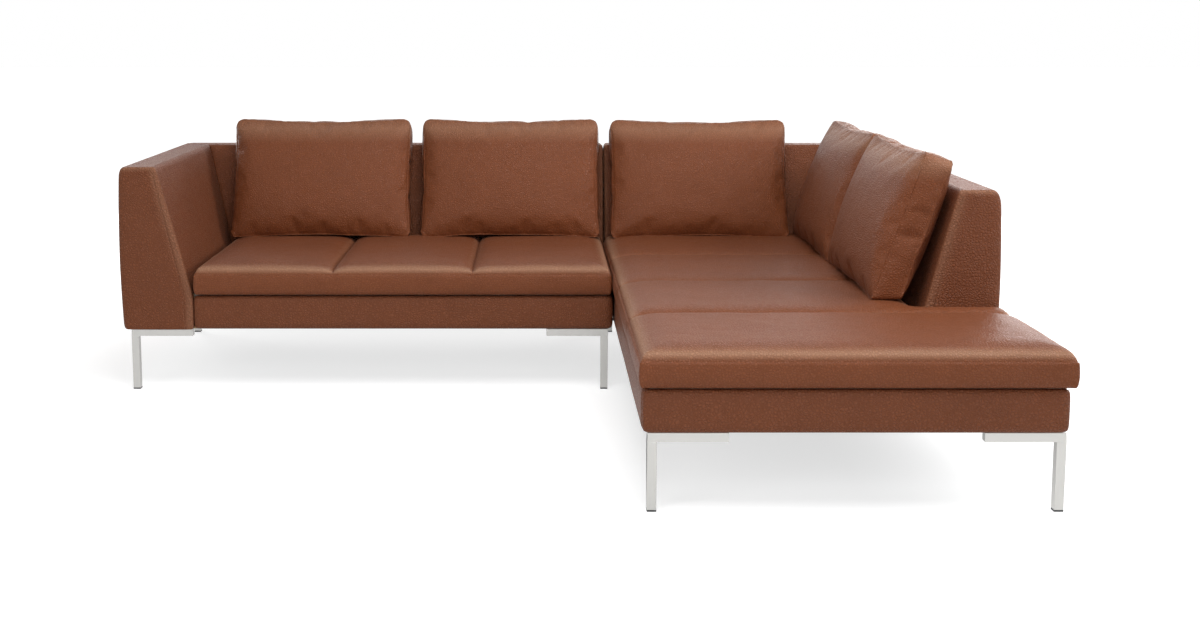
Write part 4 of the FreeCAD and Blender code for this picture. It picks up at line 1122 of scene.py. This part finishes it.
# %% Dust cover cloths
# How far in the cloth lies flat on the rail, and over what width it then comes loose
RAIL, FREE = 0.09, 0.10
for name in ("left_dust_cover", "chaise_dust_cover"):
    low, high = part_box(name)
    bm = bmesh.new()
    bmesh.ops.create_grid(bm, x_segments=60, y_segments=60, size=0.5)
    size = high - low
    bmesh.ops.scale(bm, vec=(size.x, size.y, 1), verts=bm.verts)
    bmesh.ops.translate(bm, vec=((low.x + high.x) / 2, (low.y + high.y) / 2, high.z - 0.0002), verts=bm.verts)
    for vert in bm.verts:
        p = vert.co
        edge = min(p.x - low.x, high.x - p.x, p.y - low.y, high.y - p.y)
        loose = min(1, max(0, (edge - RAIL) / FREE))
        vert.co.z -= loose * (0.0025 + 0.0015 * noise.noise(Vector((p.x * 6, p.y * 6, 1))))
    bmesh.ops.reverse_faces(bm, faces=bm.faces)
    piece = finished(f"{name}_cloth", bm, dust_cloth, "root")
    thick = piece.modifiers.new("Cloth thickness", "SOLIDIFY")
    thick.thickness = 0.0005
    rails = "left_cross_rails" if "left" in name else "chaise_cross_rails"
    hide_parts(name)
print("dust covers: 2")

# %% [markdown]
# ## Floor, light and camera
# The photograph was taken in a white studio, in soft light from all round. Seven big square lamps stand in
# for it: one overhead, two in front, a strong one at the right and three behind that draw pale edges. The
# floor and the world are white to the camera and to reflections, and the floor still shows the sofa's soft
# shadow. The camera looks along the sofa's depth and tips down a little, and a small shift of its picture
# does the rest, which is how upright edges stay nearly upright in such a picture.

# %% White floor
def white_rays(tree):
    """1 for the rays that see plain white, from the camera, off gloss and through glass, 0 for the rest."""
    rays = add(tree, "ShaderNodeLightPath").outputs
    seen = rays["Is Camera Ray"]
    for kind in ("Is Glossy Ray", "Is Transmission Ray"):
        seen = add(tree, "ShaderNodeMath", {0: seen, 1: rays[kind]}, operation="MAXIMUM").outputs[0]
    return seen


floor_mesh = bmesh.new()
bmesh.ops.create_grid(floor_mesh, x_segments=1, y_segments=1, size=30)
mesh = bpy.data.meshes.new("studio_floor")
floor_mesh.to_mesh(mesh)
floor_mesh.free()
studio_floor = bpy.data.objects.new("studio_floor", mesh)
bpy.context.scene.collection.objects.link(studio_floor)
# The floor glows with this share of white near the sofa, and with all of it a few metres away
FLOOR_LIFT, NEAR, FAR = 0.66, 1.5, 3.6
floor_white, tree, shader = blank("White studio floor", "D8D8D8", 0.9)
place = add(tree, "ShaderNodeTexCoord").outputs["Object"]
away = add(tree, "ShaderNodeVectorMath", {0: place}, operation="LENGTH")
white = add(
    tree,
    "ShaderNodeMapRange",
    {"Value": away.outputs["Value"], "From Min": NEAR, "From Max": FAR, "To Min": FLOOR_LIFT, "To Max": 1.0},
    interpolation_type="SMOOTHSTEP",
)
seen = white_rays(tree)
lift = add(tree, "ShaderNodeMath", {0: seen, 1: white.outputs["Result"]}, operation="MULTIPLY")
glow = add(tree, "ShaderNodeEmission", {"Color": (1, 1, 1, 1), "Strength": lift.outputs[0]})
both = add(tree, "ShaderNodeAddShader", {0: shader.outputs[0], 1: glow.outputs[0]})
tree.links.new(both.outputs[0], tree.nodes["Material Output"].inputs["Surface"])
mesh.materials.append(floor_white)
print("floor: white from", FAR, "m on")

# %% World
# How much the white surroundings light the sofa
WORLD_LIGHT = 0.06
world = bpy.data.worlds.new("White studio")
bpy.context.scene.world = world
world.use_nodes = True
tree = world.node_tree
tree.nodes.clear()
around = add(tree, "ShaderNodeMapRange", {"Value": white_rays(tree), "To Min": WORLD_LIGHT, "To Max": 1.0})
sky = add(tree, "ShaderNodeBackground", {"Color": (1, 1, 1, 1), "Strength": around.outputs[0]})
add(tree, "ShaderNodeOutputWorld", {"Surface": sky.outputs[0]})
print("world light:", WORLD_LIGHT)

# %% Lamps
# Each lamp's name, place, aim, width in metres and power in watts
LAMPS = (
    ("overhead_softbox", (0.3, -1.6, 3.4), (0.1, 0.0, 0.4), 2.0, 68),
    ("front_softbox", (0.6, -5.0, 2.2), (0.1, 0.0, 0.4), 2.4, 62),
    ("front_left_softbox", (-3.0, -4.2, 2.4), (0.1, 0.0, 0.4), 2.2, 46),
    ("right_softbox", (3.8, -0.5, 2.4), (0.2, 0.0, 0.4), 2.0, 98),
    ("rear_softbox", (0.0, 3.6, 2.6), (0.0, 0.4, 0.6), 2.0, 12),
    ("rear_left_softbox", (-3.4, 3.6, 1.3), (0.0, 0.4, 0.4), 2.2, 60),
    ("rear_right_softbox", (2.6, 4.4, 1.3), (0.2, 0.4, 0.4), 2.2, 45),
)


def softbox(name, place, aim, size, power):
    """A big square lamp that faces a point."""
    lamp = bpy.data.lights.new(name, "AREA")
    lamp.shape = "SQUARE"
    lamp.size = size
    lamp.energy = power
    holder = bpy.data.objects.new(name, lamp)
    bpy.context.scene.collection.objects.link(holder)
    holder.location = place
    holder.rotation_euler = (Vector(aim) - Vector(place)).to_track_quat("-Z", "Y").to_euler()


for lamp in LAMPS:
    softbox(*lamp)
print("lamps:", len(LAMPS))

# %% Camera
# Solved from the photograph: 4.7 m in front of the sofa's middle, 1.25 m up, and tipped down by 7 degrees
EYE, TIP = (0.0121, -4.6562, 1.2453), math.radians(7)
camera = bpy.data.cameras.new("camera")
camera.sensor_width = 36
camera.lens = 44.1
camera.shift_x = 0.0544
camera.shift_y = -0.1017
camera.clip_end = 100
viewpoint = bpy.data.objects.new("camera", camera)
bpy.context.scene.collection.objects.link(viewpoint)
viewpoint.location = EYE
viewpoint.rotation_euler = (math.radians(90) - TIP, 0, 0)
bpy.context.scene.camera = viewpoint
bpy.context.scene.view_settings.view_transform = "Standard"
print("camera:", camera.lens, "mm lens")
